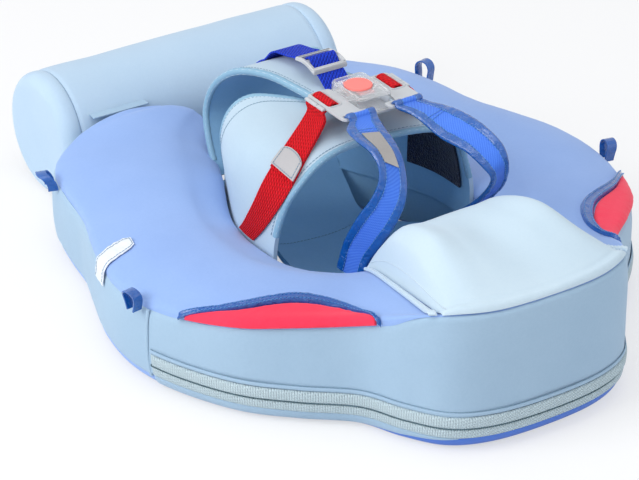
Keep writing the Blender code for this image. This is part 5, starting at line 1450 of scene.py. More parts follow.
@dataclass
class TailBolster:
    """The tail bolster: its rolled cover, its two caps with their seams, and the fabric hinges."""

    shop: Workshop
    form: RingForm
    radius: float = 0.0575
    half_length: float = 0.150
    rounding: float = 0.012
    seat: float = 0.0006
    hinge_height: float = 0.09044
    tab_half_length: float = 0.028
    tab_centre: float = 0.092
    tab_thickness: float = 0.0012
    drift: float = 0.0011
    seam_zone: float = 0.01
    cap_centre_shares: tuple = (0.85, 0.65, 0.4, 0.2, 0.05)

    def build(self) -> None:
        """Make the cover, the caps and the hinges."""
        self.cover()
        for side in Side:
            self.cap(side)
            self.tab(side)

    @property
    def axis(self) -> tuple[float, float]:
        """The bolster's axis: tailward place and height."""
        return self.form.tail_axis(self.seat, self.radius), self.radius

    def revolved(self, places: np.ndarray, radii: np.ndarray, seed: float) -> Grid:
        """A grid of points turned about the bolster's axis, softly dented, and flat on the floor.

        Args:
            places: Places along the axis.
            radii: The radius at each place.
            seed: Moves the dents.

        Returns:
            Rings of points along the axis.
        """
        y, z = self.axis
        turns = np.linspace(0, 2 * math.pi, 97)[:-1]
        x, t = np.meshgrid(places, turns, indexing="ij")
        r = np.broadcast_to(radii[:, None], x.shape)
        grid = np.stack([x, y + r * np.cos(t), z + r * np.sin(t)], axis=2)
        dents = wrinkle(grid, 13.0, seed) * self.drift * np.clip(r / self.radius, 0, 1)
        outward = np.stack([np.zeros_like(t), np.cos(t), np.sin(t)], axis=2)
        grid = grid + outward * (dents - self.drift * 0.5)[..., None]
        grid[..., 2] = np.maximum(grid[..., 2], 0.0)
        return grid

    def rings(self, name: str, grid: Grid, replaces: Sequence[str], step: int) -> bpy.types.Object:
        """Rings of points made into a closed piece that rides on the tail.

        Args:
            name: The piece's name.
            grid: The rings.
            replaces: The CAD nodes it stands for.
            step: 1 where the faces keep their winding, -1 where they turn.

        Returns:
            The piece.
        """
        faces = [f[::step] for f in ring_faces(*grid.shape[:2])]
        return self.shop.piece(name, grid.reshape(-1, 3), faces, self.shop.palette.bolster, replaces, Body.TAIL)

    def cover(self) -> None:
        """The rolled cover between the two cap seams."""
        seam = self.half_length - self.rounding * 1.6
        near = seam - self.seam_zone
        places = np.concatenate([np.linspace(-seam, -near, 9)[:-1], np.linspace(-near, near, 70),
                                 np.linspace(near, seam, 9)[1:]])
        far = seam - np.abs(places)
        radii = self.radius - 0.0011 * np.exp(-(far / 0.0022) ** 2)
        radii = np.concatenate([[radii[0] - 0.002], radii, [radii[-1] - 0.002]])
        places = np.concatenate([places[:1], places, places[-1:]])
        grid = self.revolved(places, radii, 4.0)
        made = self.rings("bolster_cloth", grid, ("bolster_cover", "bolster_foam"), -1)

    def cap(self, side: Side) -> None:
        """One rounded cap.

        Args:
            side: The bolster's end.
        """
        seam = self.half_length - self.rounding * 1.6
        turns = np.linspace(0, math.pi / 2, 9)
        straight = self.half_length - self.rounding
        places = [seam, seam + 0.0005, seam + 0.0018, seam + 0.0035]
        radii = [self.radius - 0.0032, self.radius - 0.0012, self.radius - 0.0005, self.radius]
        places += list(straight + self.rounding * np.sin(turns))
        radii += list(self.radius - self.rounding * (1 - np.cos(turns)))
        for share in self.cap_centre_shares:
            places.append(self.half_length - 0.0004)
            radii.append((self.radius - self.rounding) * share)
        grid = self.revolved(np.array(places) * side.sign, np.array(radii), 6.0)
        self.rings(f"bolster_cap_{side.value}", grid, (f"bolster_end_{side.value}",), -side.sign)

    def tab(self, side: Side) -> None:
        """One fabric hinge between an arm and the bolster.

        Args:
            side: The hinge's side.
        """
        rise = self.hinge_height - self.radius
        face = self.axis[0] - math.sqrt(self.radius ** 2 - rise ** 2)
        near = self.form.arm_reach + self.form.wall_bulge + 0.0003
        xs = side.sign * self.tab_centre + np.linspace(-1, 1, 25) * self.tab_half_length
        ys = np.linspace(near, face - self.seat, 12)
        x, y = np.meshgrid(xs, ys, indexing="ij")
        grid = np.stack([x, y, np.full_like(x, self.hinge_height - self.tab_thickness / 2)], axis=2)
        made = self.shop.sheet(f"tail_hinge_cloth_{side.value}", grid, self.tab_thickness,
                               self.shop.palette.band, (f"tail_hinge_tab_{side.value}",), outward=UP)
        made.parent = None
        self.shop.place((0, near, self.hinge_height))
        self.shop.place((0, face - self.seat, self.hinge_height))
        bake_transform(made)


@dataclass
class VestForm:
    """Where the vest's cloth lies: its wings, sling and flap, as coarse grids of points."""

    form: RingForm
    harness_height: float = 0.170
    thickness: float = 0.004
    flap_thickness: float = 0.005
    seat: float = 0.0006
    wing_seat_height: float = 0.046
    wing_b_drop: float = 0.009
    wing_b_setback: float = 0.010
    sling_span_share: float = 0.100
    wing_place_shares: tuple = (0.722, 0.606, 0.522, 0.424)
    wing_shares: tuple = (
        ((0.641, 0.990, 0.694), (0.592, 0.933, 0.835), (0.466, 0.827, 0.915), (0.291, 0.596, 0.938),
         (0.058, 0.288, 0.940)),
        ((0.874, 0.529, 0.706), (0.777, 0.481, 0.847), (0.583, 0.423, 0.915), (0.350, 0.308, 0.938),
         (-0.020, 0.135, 0.940)),
        ((0.942, 0.077, 0.706), (0.845, 0.038, 0.841), (0.650, -0.019, 0.910), (0.388, -0.077, 0.935),
         (-0.078, -0.096, 0.938)),
        ((0.893, -0.375, 0.659), (0.796, -0.433, 0.788), (0.621, -0.442, 0.882), (0.388, -0.418, 0.918),
         (-0.078, -0.346, 0.920)),
    )
    sling_shares: tuple = (
        (0.563, -0.865, 0.265, 0.059), (0.690, -0.700, 0.165, 0.141), (0.757, -0.337, 0.106, 0.176),
        (0.602, 0.115, 0.100, 0.094), (0.485, 0.529, 0.124, 0.035), (0.560, 0.913, 0.200, 0.010),
        (0.590, 1.192, 0.341, 0.0),
    )
    flap_shares: tuple = (
        (0.575, 1.225, 0.365, 0.0), (0.550, 1.404, 0.518, 0.0), (0.510, 1.510, 0.671, 0.0),
        (0.466, 1.423, 0.829, 0.0), (0.408, 1.173, 0.953, 0.0), (0.320, 0.827, 1.006, 0.0),
        (0.243, 0.462, 1.003, 0.0), (0.199, 0.020, 1.000, 0.0),
    )

    def point(self, outward: float, tailward: float, height: float) -> np.ndarray:
        """A point of the vest from its shares."""
        scale = np.array((self.form.hole_half_width, self.form.hole_nose_reach, self.harness_height))
        return np.array((outward, tailward, height)) * scale

    def wing(self, side: Side) -> Grid:
        """The coarse grid of one wing.

        Args:
            side: The wing's side.

        Returns:
            Rows from tail to nose, and columns from the hole's wall up and in.
        """
        rows = []
        for k, shares in enumerate(self.wing_shares):
            low = self.form.hole_wall(side.sign * self.wing_place_shares[k], self.wing_seat_height,
                                      self.thickness / 2 + self.seat)
            row = [low, np.array((low[0], low[1], self.form.hole_edge_height))]
            for column, (outward, tailward, height) in enumerate(shares):
                point = self.point(side.sign * outward, tailward, height)
                if side is Side.B:
                    reach = (column + 1) / len(shares)
                    point[2] -= self.wing_b_drop * reach
                    point[1] += self.wing_b_setback * reach * k / (len(self.wing_shares) - 1)
                row.append(point)
            rows.append(row)
        return np.array(rows)

    def crossing(self, table: Sequence, columns: np.ndarray) -> Grid:
        """Rows across the sling or the flap, from half width, place, height and the sides' lift."""
        return np.array([[self.point(half * c, tailward, height + lift * c * c) for c in columns]
                         for half, tailward, height, lift in table])

    def sling(self) -> Grid:
        """The coarse grid of the seat sling.

        Returns:
            Rows from the hole's nose wall to the flap.
        """
        columns = np.linspace(-1, 1, 9)
        rim_height = self.form.hole_edge_height - self.form.hole_roll * 1.2
        seat = self.thickness / 2 + self.seat
        rim = [self.form.hole_wall(c * self.sling_span_share, rim_height, seat) for c in columns]
        return np.concatenate([np.array(rim)[None], self.crossing(self.sling_shares, columns)])

    def flap(self) -> Grid:
        """The coarse grid of the crotch flap."""
        return self.crossing(self.flap_shares, np.linspace(-1, 1, 5))


def edge_line(grid: Grid, edge: int, inset: float, rows: bool) -> np.ndarray:
    """A line a little way in from a grid's first (0) or last (-1) row, or column where rows is false."""
    work = grid if rows else grid.transpose(1, 0, 2)
    return work[edge] + unit(work[1 if edge == 0 else -2] - work[edge]) * inset


@dataclass
class Vest:
    """The vest: two wings, the seat sling, the crotch flap and the bindings on their edges."""

    shop: Workshop
    vest: VestForm
    binding_half_width: float = 0.0031
    binding_swell: float = 0.0007
    binding_inset: float = 0.0022
    stitch_inset: float = 0.0062
    billow: float = 0.0016
    seam_row: int = 8
    sling_seam_rows: tuple = (("front", 16), ("rear", 66))
    patch_thickness: float = 0.0014
    face_lift: float = 0.0002

    def build(self) -> None:
        """Make every cloth of the vest."""
        for side in Side:
            self.wing(side)
        self.sling()
        self.flap()

    def wing(self, side: Side) -> None:
        """One wing with its bindings, and on side B the loop patch inside.

        Args:
            side: The wing's side.
        """
        palette = self.shop.palette
        coarse = self.vest.wing(side)
        grid = fine_grid(coarse, np.linspace(0, 3, 61), np.linspace(0, 6, 97))
        normals = grid_normals(grid, side.outward)
        calm = edge_roll(rim_distance(grid), 0.035)
        grid = grid + normals * (wrinkle(grid, 17.0, 3.0 + side.sign) * self.billow * calm)[..., None]
        self.shop.sheet(f"wing_cloth_{side.value}", grid, self.vest.thickness, palette.wing,
                        (f"wing_{side.value}",), side.outward, back_finish=palette.lining, held="stretched")
        face = normals * (self.vest.thickness / 2 + self.face_lift)
        self.bind(f"wing_binding_{side.value}_rear", grid, face, 0, True, 20)
        self.bind(f"wing_binding_{side.value}_front", grid, face, -1, True, 20)
        self.bind(f"wing_binding_{side.value}_top", grid, face, -1, False, 0)
        seam = face[self.seam_row, 20:]
        self.shop.stitches(f"wing_seam_{side.value}", grid[self.seam_row, 20:] + seam, unit(seam),
                           palette.dark_thread, 0.003, 0.85)
        if side is Side.B:
            patch = fine_grid(coarse, np.linspace(1.2, 2.75, 36), np.linspace(0.8, 3.2, 44))
            inside = -(self.vest.thickness / 2 + 0.0012 + self.vest.seat)
            pile = patch + grid_normals(patch, side.outward) * inside
            self.shop.sheet("loop_patch_pile", pile, self.patch_thickness, palette.navy_loop, ("loop_patch",),
                            outward=-np.array(side.outward))

    def bind(self, name: str, grid: Grid, face: Grid, edge: int, rows: bool, skip: int) -> None:
        """The folded binding along one edge, with its stitches on the face.

        Args:
            name: The piece's name.
            grid: The cloth's middle surface.
            face: Offsets from the middle surface to the face.
            edge: 0 for the first row or column, -1 for the last.
            rows: Whether the edge is a row.
            skip: Points left out at the start, where the cloth goes down into the hole.
        """
        palette = self.shop.palette
        offsets = (face if rows else face.transpose(1, 0, 2))[edge][skip:]
        path = edge_line(grid, edge, self.binding_inset, rows)[skip:]
        up = unit(offsets)
        high = float(np.linalg.norm(offsets[0])) + self.binding_swell
        ripple = 1 + 0.06 * np.sin(np.arange(len(path)) * 2.1)
        self.shop.tube(name, path, self.binding_half_width * ripple, high * ripple, palette.teal, up, 12)
        line = edge_line(grid, edge, self.stitch_inset, rows)[skip:] + offsets
        self.shop.stitches(f"{name}_stitches", line, up, palette.dark_thread)

    def sling(self) -> None:
        """The seat sling, with two stitched seams across it."""
        palette = self.shop.palette
        coarse = self.vest.sling()
        grid = fine_grid(coarse, np.linspace(0, len(coarse) - 1, 97), np.linspace(0, 8, 49))
        calm = edge_roll(rim_distance(grid), 0.03)
        grid[..., 2] += wrinkle(grid, 20.0, 7.0) * 0.0012 * calm
        self.shop.sheet("sling_cloth", grid, self.vest.thickness, palette.lining, ("seat_sling",), UP,
                        held="stretched")
        normals = grid_normals(grid, UP)
        for name, row in self.sling_seam_rows:
            line = grid[row] + normals[row] * (self.vest.thickness / 2 + self.face_lift)
            self.shop.stitches(f"sling_seam_{name}", line, normals[row], palette.dark_thread)

    def flap(self) -> None:
        """The crotch flap that rises behind and runs over to the buckle."""
        palette = self.shop.palette
        coarse = self.vest.flap()
        grid = fine_grid(coarse, np.linspace(0, len(coarse) - 1, 97), np.linspace(0, 4, 37))
        self.shop.sheet("flap_cloth", grid, self.vest.flap_thickness, palette.wing, ("crotch_flap",),
                        (0.0, 0.3, 1.0), back_finish=palette.lining, held="draped")
        face = grid_normals(grid, (0.0, 0.3, 1.0)) * (self.vest.flap_thickness / 2 + 0.0001)
        self.bind("flap_binding_a", grid, face, 0, False, 6)
        self.bind("flap_binding_b", grid, face, -1, False, 6)
        self.bind("flap_binding_front", grid, face, -1, True, 0)


@dataclass
class BuckleSizes:
    """The buckle's place and sizes, which the webbing and the straps follow."""

    x: float = 0.005
    y: float = -0.001
    floor: float = 0.1728
    half_width: float = 0.017
    half_length: float = 0.0235
    lead: float = 0.0045
    height: float = 0.0165
    dish: float = 0.0012
    wall: float = 0.0018
    corner: float = 0.006
    base_thickness: float = 0.0016
    button_radius: float = 0.0122
    blade_height: float = 0.0070
    blade_thickness: float = 0.0025
    blade_depth: float = 0.0088
    lug_length: float = 0.009
    tongue_reach: float = 0.0235
    tongue_rear: float = 0.0177
    tongue_front: float = 0.0405
    tongue_neck: float = 0.0092
    tongue_bar: float = 0.0032
    window_length: float = 0.027
    grip_size: float = 0.0034
    lock_half_width: float = 0.0175
    lock_bar: float = 0.0040
    lock_window: float = 0.0088
    lock_thickness: float = 0.0032
    lock_distance: float = 0.057
    lock_lift: float = 0.0175
    lock_bow: float = 0.0026
    lock_drop: float = 0.0020
    clearance: float = 0.0003

    @property
    def window(self) -> tuple:
        """The webbing window in a tongue.

        Returns:
            X near and far, and y front and rear.
        """
        near = self.half_width + self.clearance * 2 + self.tongue_neck
        rear = self.tongue_rear - self.tongue_bar
        return (near, self.half_width + self.tongue_reach - self.tongue_bar), (rear - self.window_length, rear)

    @property
    def slot(self) -> tuple[float, float]:
        """The strap slot in a tongue's lobe: x near and far."""
        near = self.half_width - self.blade_depth + self.tongue_bar * 0.5
        return near, self.half_width + self.tongue_reach - self.tongue_bar

    def lock_height(self, y: float) -> float:
        """Height of the ladder lock's arched middle surface, tailward of its centre by y."""
        share = min(max(0.5 - y / (self.lock_bar * 3 + self.lock_window * 2), 0.0), 1.0)
        return self.lock_bow * math.sin(math.pi * share) - self.lock_drop * share

    @property
    def tongue_low(self) -> float:
        """Height of a tongue's underside."""
        return self.floor + self.blade_height

    def lock_centre(self, harness_height: float) -> np.ndarray:
        """Centre of the ladder lock."""
        return np.array((self.x, self.y + self.lock_distance, harness_height + self.lock_lift))


@dataclass
class Webbing:
    """The red waist webbing with its grey tabs, and the royal crotch webbing."""

    shop: Workshop
    vest: VestForm
    buckle: BuckleSizes
    thickness: float = 0.0014
    standoff: float = 0.0009
    crotch_width: float = 0.026
    route: tuple = ((0.82, 2.14, 0.28), (1.10, 2.32, 0.27), (1.40, 2.46, 0.27), (1.80, 2.58, 0.27),
                    (2.40, 2.64, 0.28), (3.15, 2.61, 0.28), (3.90, 2.46, 0.29))
    tab_route: tuple = ((2.90, 2.63, 0.29), (3.15, 2.61, 0.29), (3.40, 2.58, 0.29), (3.65, 2.53, 0.29),
                        (3.90, 2.46, 0.30))
    tab_span: tuple = (0.8, 3.9, 1.1)
    tab_thickness: float = 0.0012
    hump_shares: tuple = ((1.130, 1.020), (1.060, 1.044), (0.960, 1.058), (0.860, 1.070))

    def build(self) -> None:
        """Make the webbing."""
        for side in Side:
            self.waist(side)
        self.crotch()

    def on_wing(self, side: Side, route: Sequence, lift: float) -> Grid:
        """Rows of points across a strap that lies on a wing.

        Args:
            side: The wing's side.
            route: Columns and rows of the wing's coarse grid, each with half the strap's width in rows.
            lift: Height above the wing's middle surface.

        Returns:
            The strap's coarse grid.
        """
        coarse = self.vest.wing(side)
        rows = []
        for column, row, half in route:
            places = row + np.linspace(-1, 1, 5) * half
            rows.append(fine_grid(coarse, places, np.array([column]))[:, 0])
        grid = np.array(rows)
        return grid + grid_normals(grid, side.outward) * lift

    def waist(self, side: Side) -> None:
        """One side's waist webbing: the strap, its doubled stretch, its roll in the window, its tab.

        Args:
            side: The webbing's side.
        """
        palette = self.shop.palette
        lift = self.vest.thickness / 2 + self.thickness / 2 + self.standoff
        on_wing = self.on_wing(side, self.route, lift)
        coarse = np.concatenate([on_wing, self.end_rows(side, on_wing[-1])])
        last = len(coarse) - 1
        across = np.linspace(0, 4, 15)
        strap = fine_grid(coarse, np.linspace(0, last, 150), across)
        piece = self.shop.sheet(f"waist_webbing_cloth_{side.value}", strap, self.thickness,
                                palette.red_webbing, (f"waist_webbing_{side.value}",), side.outward)
        self.bend(piece, side, coarse)
        double = fine_grid(coarse, np.linspace(4.8, last - 0.35, 90), across)
        double = double + grid_normals(double, side.outward) * (self.thickness + self.standoff * 0.3)
        fold = self.shop.sheet(f"waist_webbing_fold_{side.value}", double, self.thickness,
                               palette.red_webbing, outward=side.outward)
        self.bend(fold, side, coarse)
        self.roll(side)
        self.tab(side, lift)

    def end_rows(self, side: Side, leaving: np.ndarray) -> Grid:
        """The webbing's free end, up under the tongue's window.

        Args:
            side: The webbing's side.
            leaving: The last row on the wing.

        Returns:
            The rows that follow it.
        """
        b = self.buckle
        height = b.tongue_low - b.clearance * 2 - self.thickness / 2
        reach, root = b.half_width + b.tongue_reach, b.half_width + b.tongue_bar * 2
        near, far = leaving[0, 1], leaving[-1, 1]
        half = (near - far) / 2
        ends = []
        for out, drop, share in ((reach + b.grip_size * 2, b.tongue_bar * 2, 0.6), (reach, 0, 1), (root, 0, 1)):
            middle = between((near + far) / 2, b.y + sum(b.window[1]) / 2, share)
            ends.append([(b.x + side.sign * out, middle - s * half, height - drop) for s in np.linspace(-1, 1, 5)])
        return np.array(ends)

    def bend(self, piece: bpy.types.Object, side: Side, coarse: Grid) -> None:
        """Unparent a webbing piece and bake its transform into its mesh.

        Args:
            piece: The piece.
            side: Its side; not used.
            coarse: The webbing's coarse grid.
        """
        start, end = coarse[4, 2], coarse[-2, 2]
        flat_end = np.array((end[0], start[1], start[2]))
        piece.parent = None
        self.shop.place(start)
        self.shop.place(flat_end)
        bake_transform(piece)

    def roll(self, side: Side) -> None:
        """The webbing that rolls up through the tongue's window and back over its bar.

        Args:
            side: The tongue's side.
        """
        b = self.buckle
        (inner, outer), (front, rear) = b.window
        low, top = b.tongue_low - b.clearance, b.tongue_low + b.blade_thickness
        turns = np.linspace(0.0, math.pi, 25)
        middle, half = (inner + outer) / 2, (outer - inner) / 2 - self.thickness / 2 - 0.0003
        xs = middle - half * np.cos(turns)
        zs = low + (top - low + 0.0016) * np.sin(turns) ** 0.45
        ys = np.linspace(b.y + front + 0.0008, b.y + rear - 0.0008, 15)
        grid = np.array([[(b.x + side.sign * x, y, z) for y in ys] for x, z in zip(xs, zs)])
        self.shop.sheet(f"webbing_roll_{side.value}", grid, self.thickness, self.shop.palette.red_webbing,
                        outward=UP, body=side.tongue)

    def tab(self, side: Side, lift: float) -> None:
        """The grey D-shaped tab sewn over the webbing, with stitches round it.

        Args:
            side: The tab's side.
            lift: Height of the webbing's middle above the wing's.
        """
        palette = self.shop.palette
        over = lift + self.thickness * 2 + self.standoff * 0.6
        base = self.on_wing(side, self.tab_route, over)
        across = np.linspace(-1, 1, 25)
        first, last, bow = self.tab_span
        rows = []
        for share in np.linspace(0, 1, 30):
            places = first + (last - bow * (1 - np.sqrt(1 - 0.98 * across ** 2)) - first) * share
            rows.append([through(through(base, np.array([p]))[0], np.array([2 + 2 * c]))[0]
                         for p, c in zip(places, across)])
        grid = np.array(rows)
        self.shop.sheet(f"webbing_tab_cloth_{side.value}", grid, self.tab_thickness, palette.grey_tab,
                        (f"webbing_tab_{side.value}",), side.outward)
        normals = grid_normals(grid, side.outward)
        ring = [(i, 2) for i in range(2, 27)] + [(27, j) for j in range(2, 23)]
        ring += [(i, 22) for i in range(27, 1, -1)] + [(2, j) for j in range(22, 1, -1)]
        path = np.array([grid[i, j] + normals[i, j] * 0.0008 for i, j in ring])
        ups = np.array([normals[i, j] for i, j in ring])
        self.shop.stitches(f"tab_stitches_{side.value}", path, ups, palette.dark_thread, 0.0026)

    def crotch(self) -> None:
        """The royal webbing: over the flap, in a hump, and through the ladder lock to the buckle."""
        path, split = self.crotch_path()
        half = self.crotch_width / 2
        rows = np.array([[p + np.array((s, 0, 0)) for s in np.linspace(-half, half, 13)] for p in path])
        rear = fine_grid(rows, np.linspace(0, split, 170), np.arange(13.0))
        front = fine_grid(rows, np.linspace(split, len(rows) - 1, 70), np.arange(13.0))
        lock = self.buckle.lock_centre(self.vest.harness_height)
        reach = self.buckle.lock_bar * 1.5 + self.buckle.lock_window
        royal = self.shop.palette.royal_webbing
        made = self.shop.sheet("crotch_webbing_rear", rear, self.thickness, royal, ("crotch_webbing",),
                               (0, 0.4, 1))
        made.parent = None
        self.shop.place(lock + (0, reach * 2.2, 0))
        self.shop.place(lock + (0, reach * 0.9, 0))
        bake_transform(made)
        made = self.shop.sheet("crotch_webbing_front", front, self.thickness, royal, outward=UP)
        made.parent = None
        self.shop.place(lock - (0, reach * 0.55, 0))
        self.shop.place(lock - (0, reach * 1.0, 0))
        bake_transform(made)

    def crotch_path(self) -> tuple[np.ndarray, float]:
        """The webbing's centre line from the flap's back to the buckle's lug.

        Returns:
            The line, and the point where it is split.
        """
        b = self.buckle
        centre = b.lock_centre(self.vest.harness_height)
        over = b.lock_thickness / 2 + b.clearance * 2 + self.thickness / 2
        coarse = self.vest.crossing(self.vest.flap_shares, np.array((-1.0, 0.0, 1.0)))
        line = coarse[:, 1]
        path = []
        lift = self.vest.flap_thickness / 2 + self.thickness / 2 + self.vest.seat
        for row in np.linspace(2.6, 3.9, 8):
            here, ahead, behind = through(line, np.array((row, row + 0.05, row - 0.05)))
            tangent = unit(ahead - behind)
            up = np.array((0, -tangent[2], tangent[1])) * (1 if tangent[1] < 0 else -1)
            path.append(here + up * (1 if up[2] > 0 else -1) * lift)
        for y_share, rise_share in self.hump_shares:
            path.append(np.array((b.x, self.vest.form.hole_nose_reach * y_share,
                                  self.vest.harness_height * rise_share)))
        bar, window = b.lock_bar / 2, b.lock_window
        reach = b.lock_bar * 1.5 + window
        tail = [(reach + window, -over), (reach, -over), (bar + window * 0.88, -over),
                (bar + window * 0.12, over), (0.0, over + self.thickness * 0.8), (-bar - window * 0.12, over),
                (-bar - window * 0.88, -over), (-reach, -over)]
        split = len(path) + 4
        path += [centre + (0, y, b.lock_height(y) + rise) for y, rise in tail]
        lug = b.y + b.half_length - b.lead + b.lug_length + b.clearance * 2
        path.append(np.array((b.x, lug, b.floor + self.thickness / 2 + b.clearance)))
        path = np.array(path)
        path[:, 0] = b.x
        return path, float(split)


@dataclass
class ShoulderStraps:
    """The padded shoulder straps: a light blue middle between two glossy taped edges."""

    shop: Workshop
    vest: VestForm
    buckle: BuckleSizes
    thickness: float = 0.003
    place_share: float = 0.118
    fine_rows: int = 210
    tape_share: float = 0.28
    bar_places: tuple = (4.30, 4.48)
    patch_places: tuple = (4.58, 6.8)
    patch_thickness: float = 0.0006
    strap_a_shares: tuple = (
        ((0.405, -0.520, 1.062), (0.085, -0.545, 1.056)), ((0.428, -0.690, 1.056), (0.140, -0.800, 1.036)),
        ((0.426, -0.860, 1.050), (0.180, -0.970, 1.002)), ((0.420, -0.975, 1.006), (0.205, -1.070, 0.920)),
        ((0.430, -1.010, 0.926), (0.265, -1.150, 0.818)), ((0.469, -0.960, 0.820), (0.330, -1.105, 0.688)),
        ((0.515, -0.840, 0.695), (0.385, -0.990, 0.550)), ((0.545, -0.700, 0.530), (0.440, -0.900, 0.440)),
        ((0.575, -0.650, 0.385), (0.500, -0.880, 0.330)),
    )
    strap_b_shares: tuple = (
        ((0.214, -0.577, 1.050), (0.500, -0.577, 1.060)), ((0.262, -0.856, 1.000), (0.520, -0.750, 1.082)),
        ((0.330, -1.111, 0.979), (0.530, -1.048, 1.085)), ((0.388, -1.274, 0.924), (0.560, -1.279, 1.035)),
        ((0.447, -1.300, 0.866), (0.590, -1.340, 0.944)), ((0.540, -1.140, 0.750), (0.670, -1.200, 0.780)),
        ((0.560, -0.930, 0.610), (0.680, -0.980, 0.620)), ((0.515, -0.700, 0.500), (0.560, -0.850, 0.480)),
    )

    def build(self) -> None:
        """Make both straps."""
        for side in Side:
            self.strap(side)

    def rows(self, side: Side) -> Grid:
        """The strap's coarse grid.

        Args:
            side: The strap's side.

        Returns:
            Its two edges from the tongue's slot down to the hole's wall.
        """
        b = self.buckle
        y = b.y - b.tongue_front - b.clearance * 2
        near, far = (b.x + side.sign * reach for reach in b.slot)
        middle = b.tongue_low + b.blade_thickness / 2
        over = b.tongue_low + b.blade_thickness + self.thickness / 2 + b.clearance * 2
        rows = []
        for ahead, height in ((b.tongue_bar * 1.75, middle + 0.0006), (b.tongue_bar * 0.9, over),
                              (b.tongue_bar * 0.1, over - 0.0003), (-0.0022, middle + 0.0004)):
            ends = [(near, y + ahead, height), (far, y + ahead, height)]
            rows.append(ends[::-1] if side is Side.A else ends)
        table = self.strap_a_shares if side is Side.A else self.strap_b_shares
        for inner, outer in table:
            rows.append([self.vest.point(side.sign * p[0], p[1], p[2]) for p in (inner, outer)])
        rows[-1][1] = self.vest.form.hole_wall(side.sign * self.place_share, rows[-1][1][2],
                                               self.thickness + self.vest.seat)
        return np.array(rows, dtype=float)

    def fine_row(self, side: Side, place: float) -> int:
        """The fine row nearest to a place counted in coarse rows."""
        table = self.strap_a_shares if side is Side.A else self.strap_b_shares
        return round(place / (len(table) + 3) * (self.fine_rows - 1))

    def strap(self, side: Side) -> None:
        """One strap: middle cloth, two taped edges, stitches and the bar seam.

        Args:
            side: The strap's side.
        """
        palette = self.shop.palette
        coarse = self.rows(side)
        lines = through(coarse, np.linspace(0, len(coarse) - 1, self.fine_rows))
        normal = grid_normals(lines)
        up = normal * (1 if normal[self.fine_row(side, 5.0), 0, 2] > 0 else -1)

        def strip(low: float, high: float, count: int) -> tuple[Grid, Grid]:
            """Points of the strap between two shares of its width, and the way that they face."""
            across = np.linspace(low, high, count)[None, :, None]
            return between(lines[:, :1], lines[:, 1:], across), between(up[:, :1], up[:, 1:], across)

        centre, face = strip(self.tape_share * 0.7, 1 - self.tape_share * 0.7, 17)
        relief = wrinkle(centre, 60.0, side.sign * 3.0) * 0.0005
        middle = self.shop.sheet(f"strap_cloth_{side.value}", centre, self.thickness * 0.85,
                                 palette.strap_cloth, (f"shoulder_strap_{side.value}",),
                                 middle_of(face), relief)
        self.bend(middle, side, coarse)
        for name, low, high in (("inner", 0.0, self.tape_share), ("outer", 1 - self.tape_share, 1.0)):
            grid, face = strip(low, high, 11)
            rolled = edge_roll(rim_distance(grid, (False, False, True, True)), 0.0022)
            crease = wrinkle(grid, 150.0, 2.0 + side.sign) * 0.0006
            front = grid + face * ((self.thickness * 0.72 * rolled + crease)[..., None])
            back = grid - face * ((self.thickness * 0.66 * rolled)[..., None])
            tape = self.shop.shell(f"strap_tape_{side.value}_{name}", front, back, face, palette.gloss)
            self.bend(tape, side, coarse)
            column = 9 if name == "inner" else 1
            line = self.shop.stitches(f"strap_stitches_{side.value}_{name}", front[8:, column],
                                      unit(face[8:, column]), palette.blue_thread, 0.0032)
            self.bend(line, side, coarse)
        self.bar_seam(side, lines, up, coarse)
        if side is Side.A:
            self.patch(lines, up, coarse)

    def bend(self, piece: bpy.types.Object, side: Side, coarse: Grid) -> None:
        """Unparent a strap piece and bake its transform into its mesh.

        Args:
            piece: The piece.
            side: Its side; not used.
            coarse: The strap's coarse grid.
        """
        start, end = coarse[8].mean(axis=0), coarse[4].mean(axis=0)
        flat_start = np.array((end[0], start[1], end[2]))
        piece.parent = None
        self.shop.place(flat_start)
        self.shop.place(end)
        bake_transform(piece)

    def bar_seam(self, side: Side, lines: Grid, up: Grid, coarse: Grid) -> None:
        """The two stitched bars across the strap where it folds back from the tongue.

        Args:
            side: The strap's side.
            lines: The strap's two edges.
            up: The way that they face.
            coarse: The strap's coarse grid.
        """
        for number, row in enumerate(self.fine_row(side, place) for place in self.bar_places):
            shares = np.linspace(0.12, 0.88, 30)[:, None]
            face = unit(between(up[row, 0], up[row, 1], shares))
            path = between(lines[row, 0], lines[row, 1], shares) + face * self.thickness * 0.62
            made = self.shop.stitches(f"strap_bar_{side.value}_{number}", path, face,
                                      self.shop.palette.blue_thread, 0.0024)
            self.bend(made, side, coarse)

    def patch(self, lines: Grid, up: Grid, coarse: Grid) -> None:
        """The bare grey reflective patch on strap A.

        Args:
            lines: The strap's two edges.
            up: The way that they face.
            coarse: The strap's coarse grid.
        """
        rows = slice(*(self.fine_row(Side.A, place) for place in self.patch_places))
        across = np.linspace(self.tape_share * 0.95, 1 - self.tape_share * 0.95, 13)[None, :, None]
        face = between(up[rows, :1], up[rows, 1:], across)
        grid = between(lines[rows, :1], lines[rows, 1:], across) + unit(face) * (self.thickness * 0.425 + 0.0009)
        made = self.shop.sheet("strap_patch", grid, self.patch_thickness, self.shop.palette.reflective,
                               outward=middle_of(face))
        self.bend(made, Side.A, coarse)


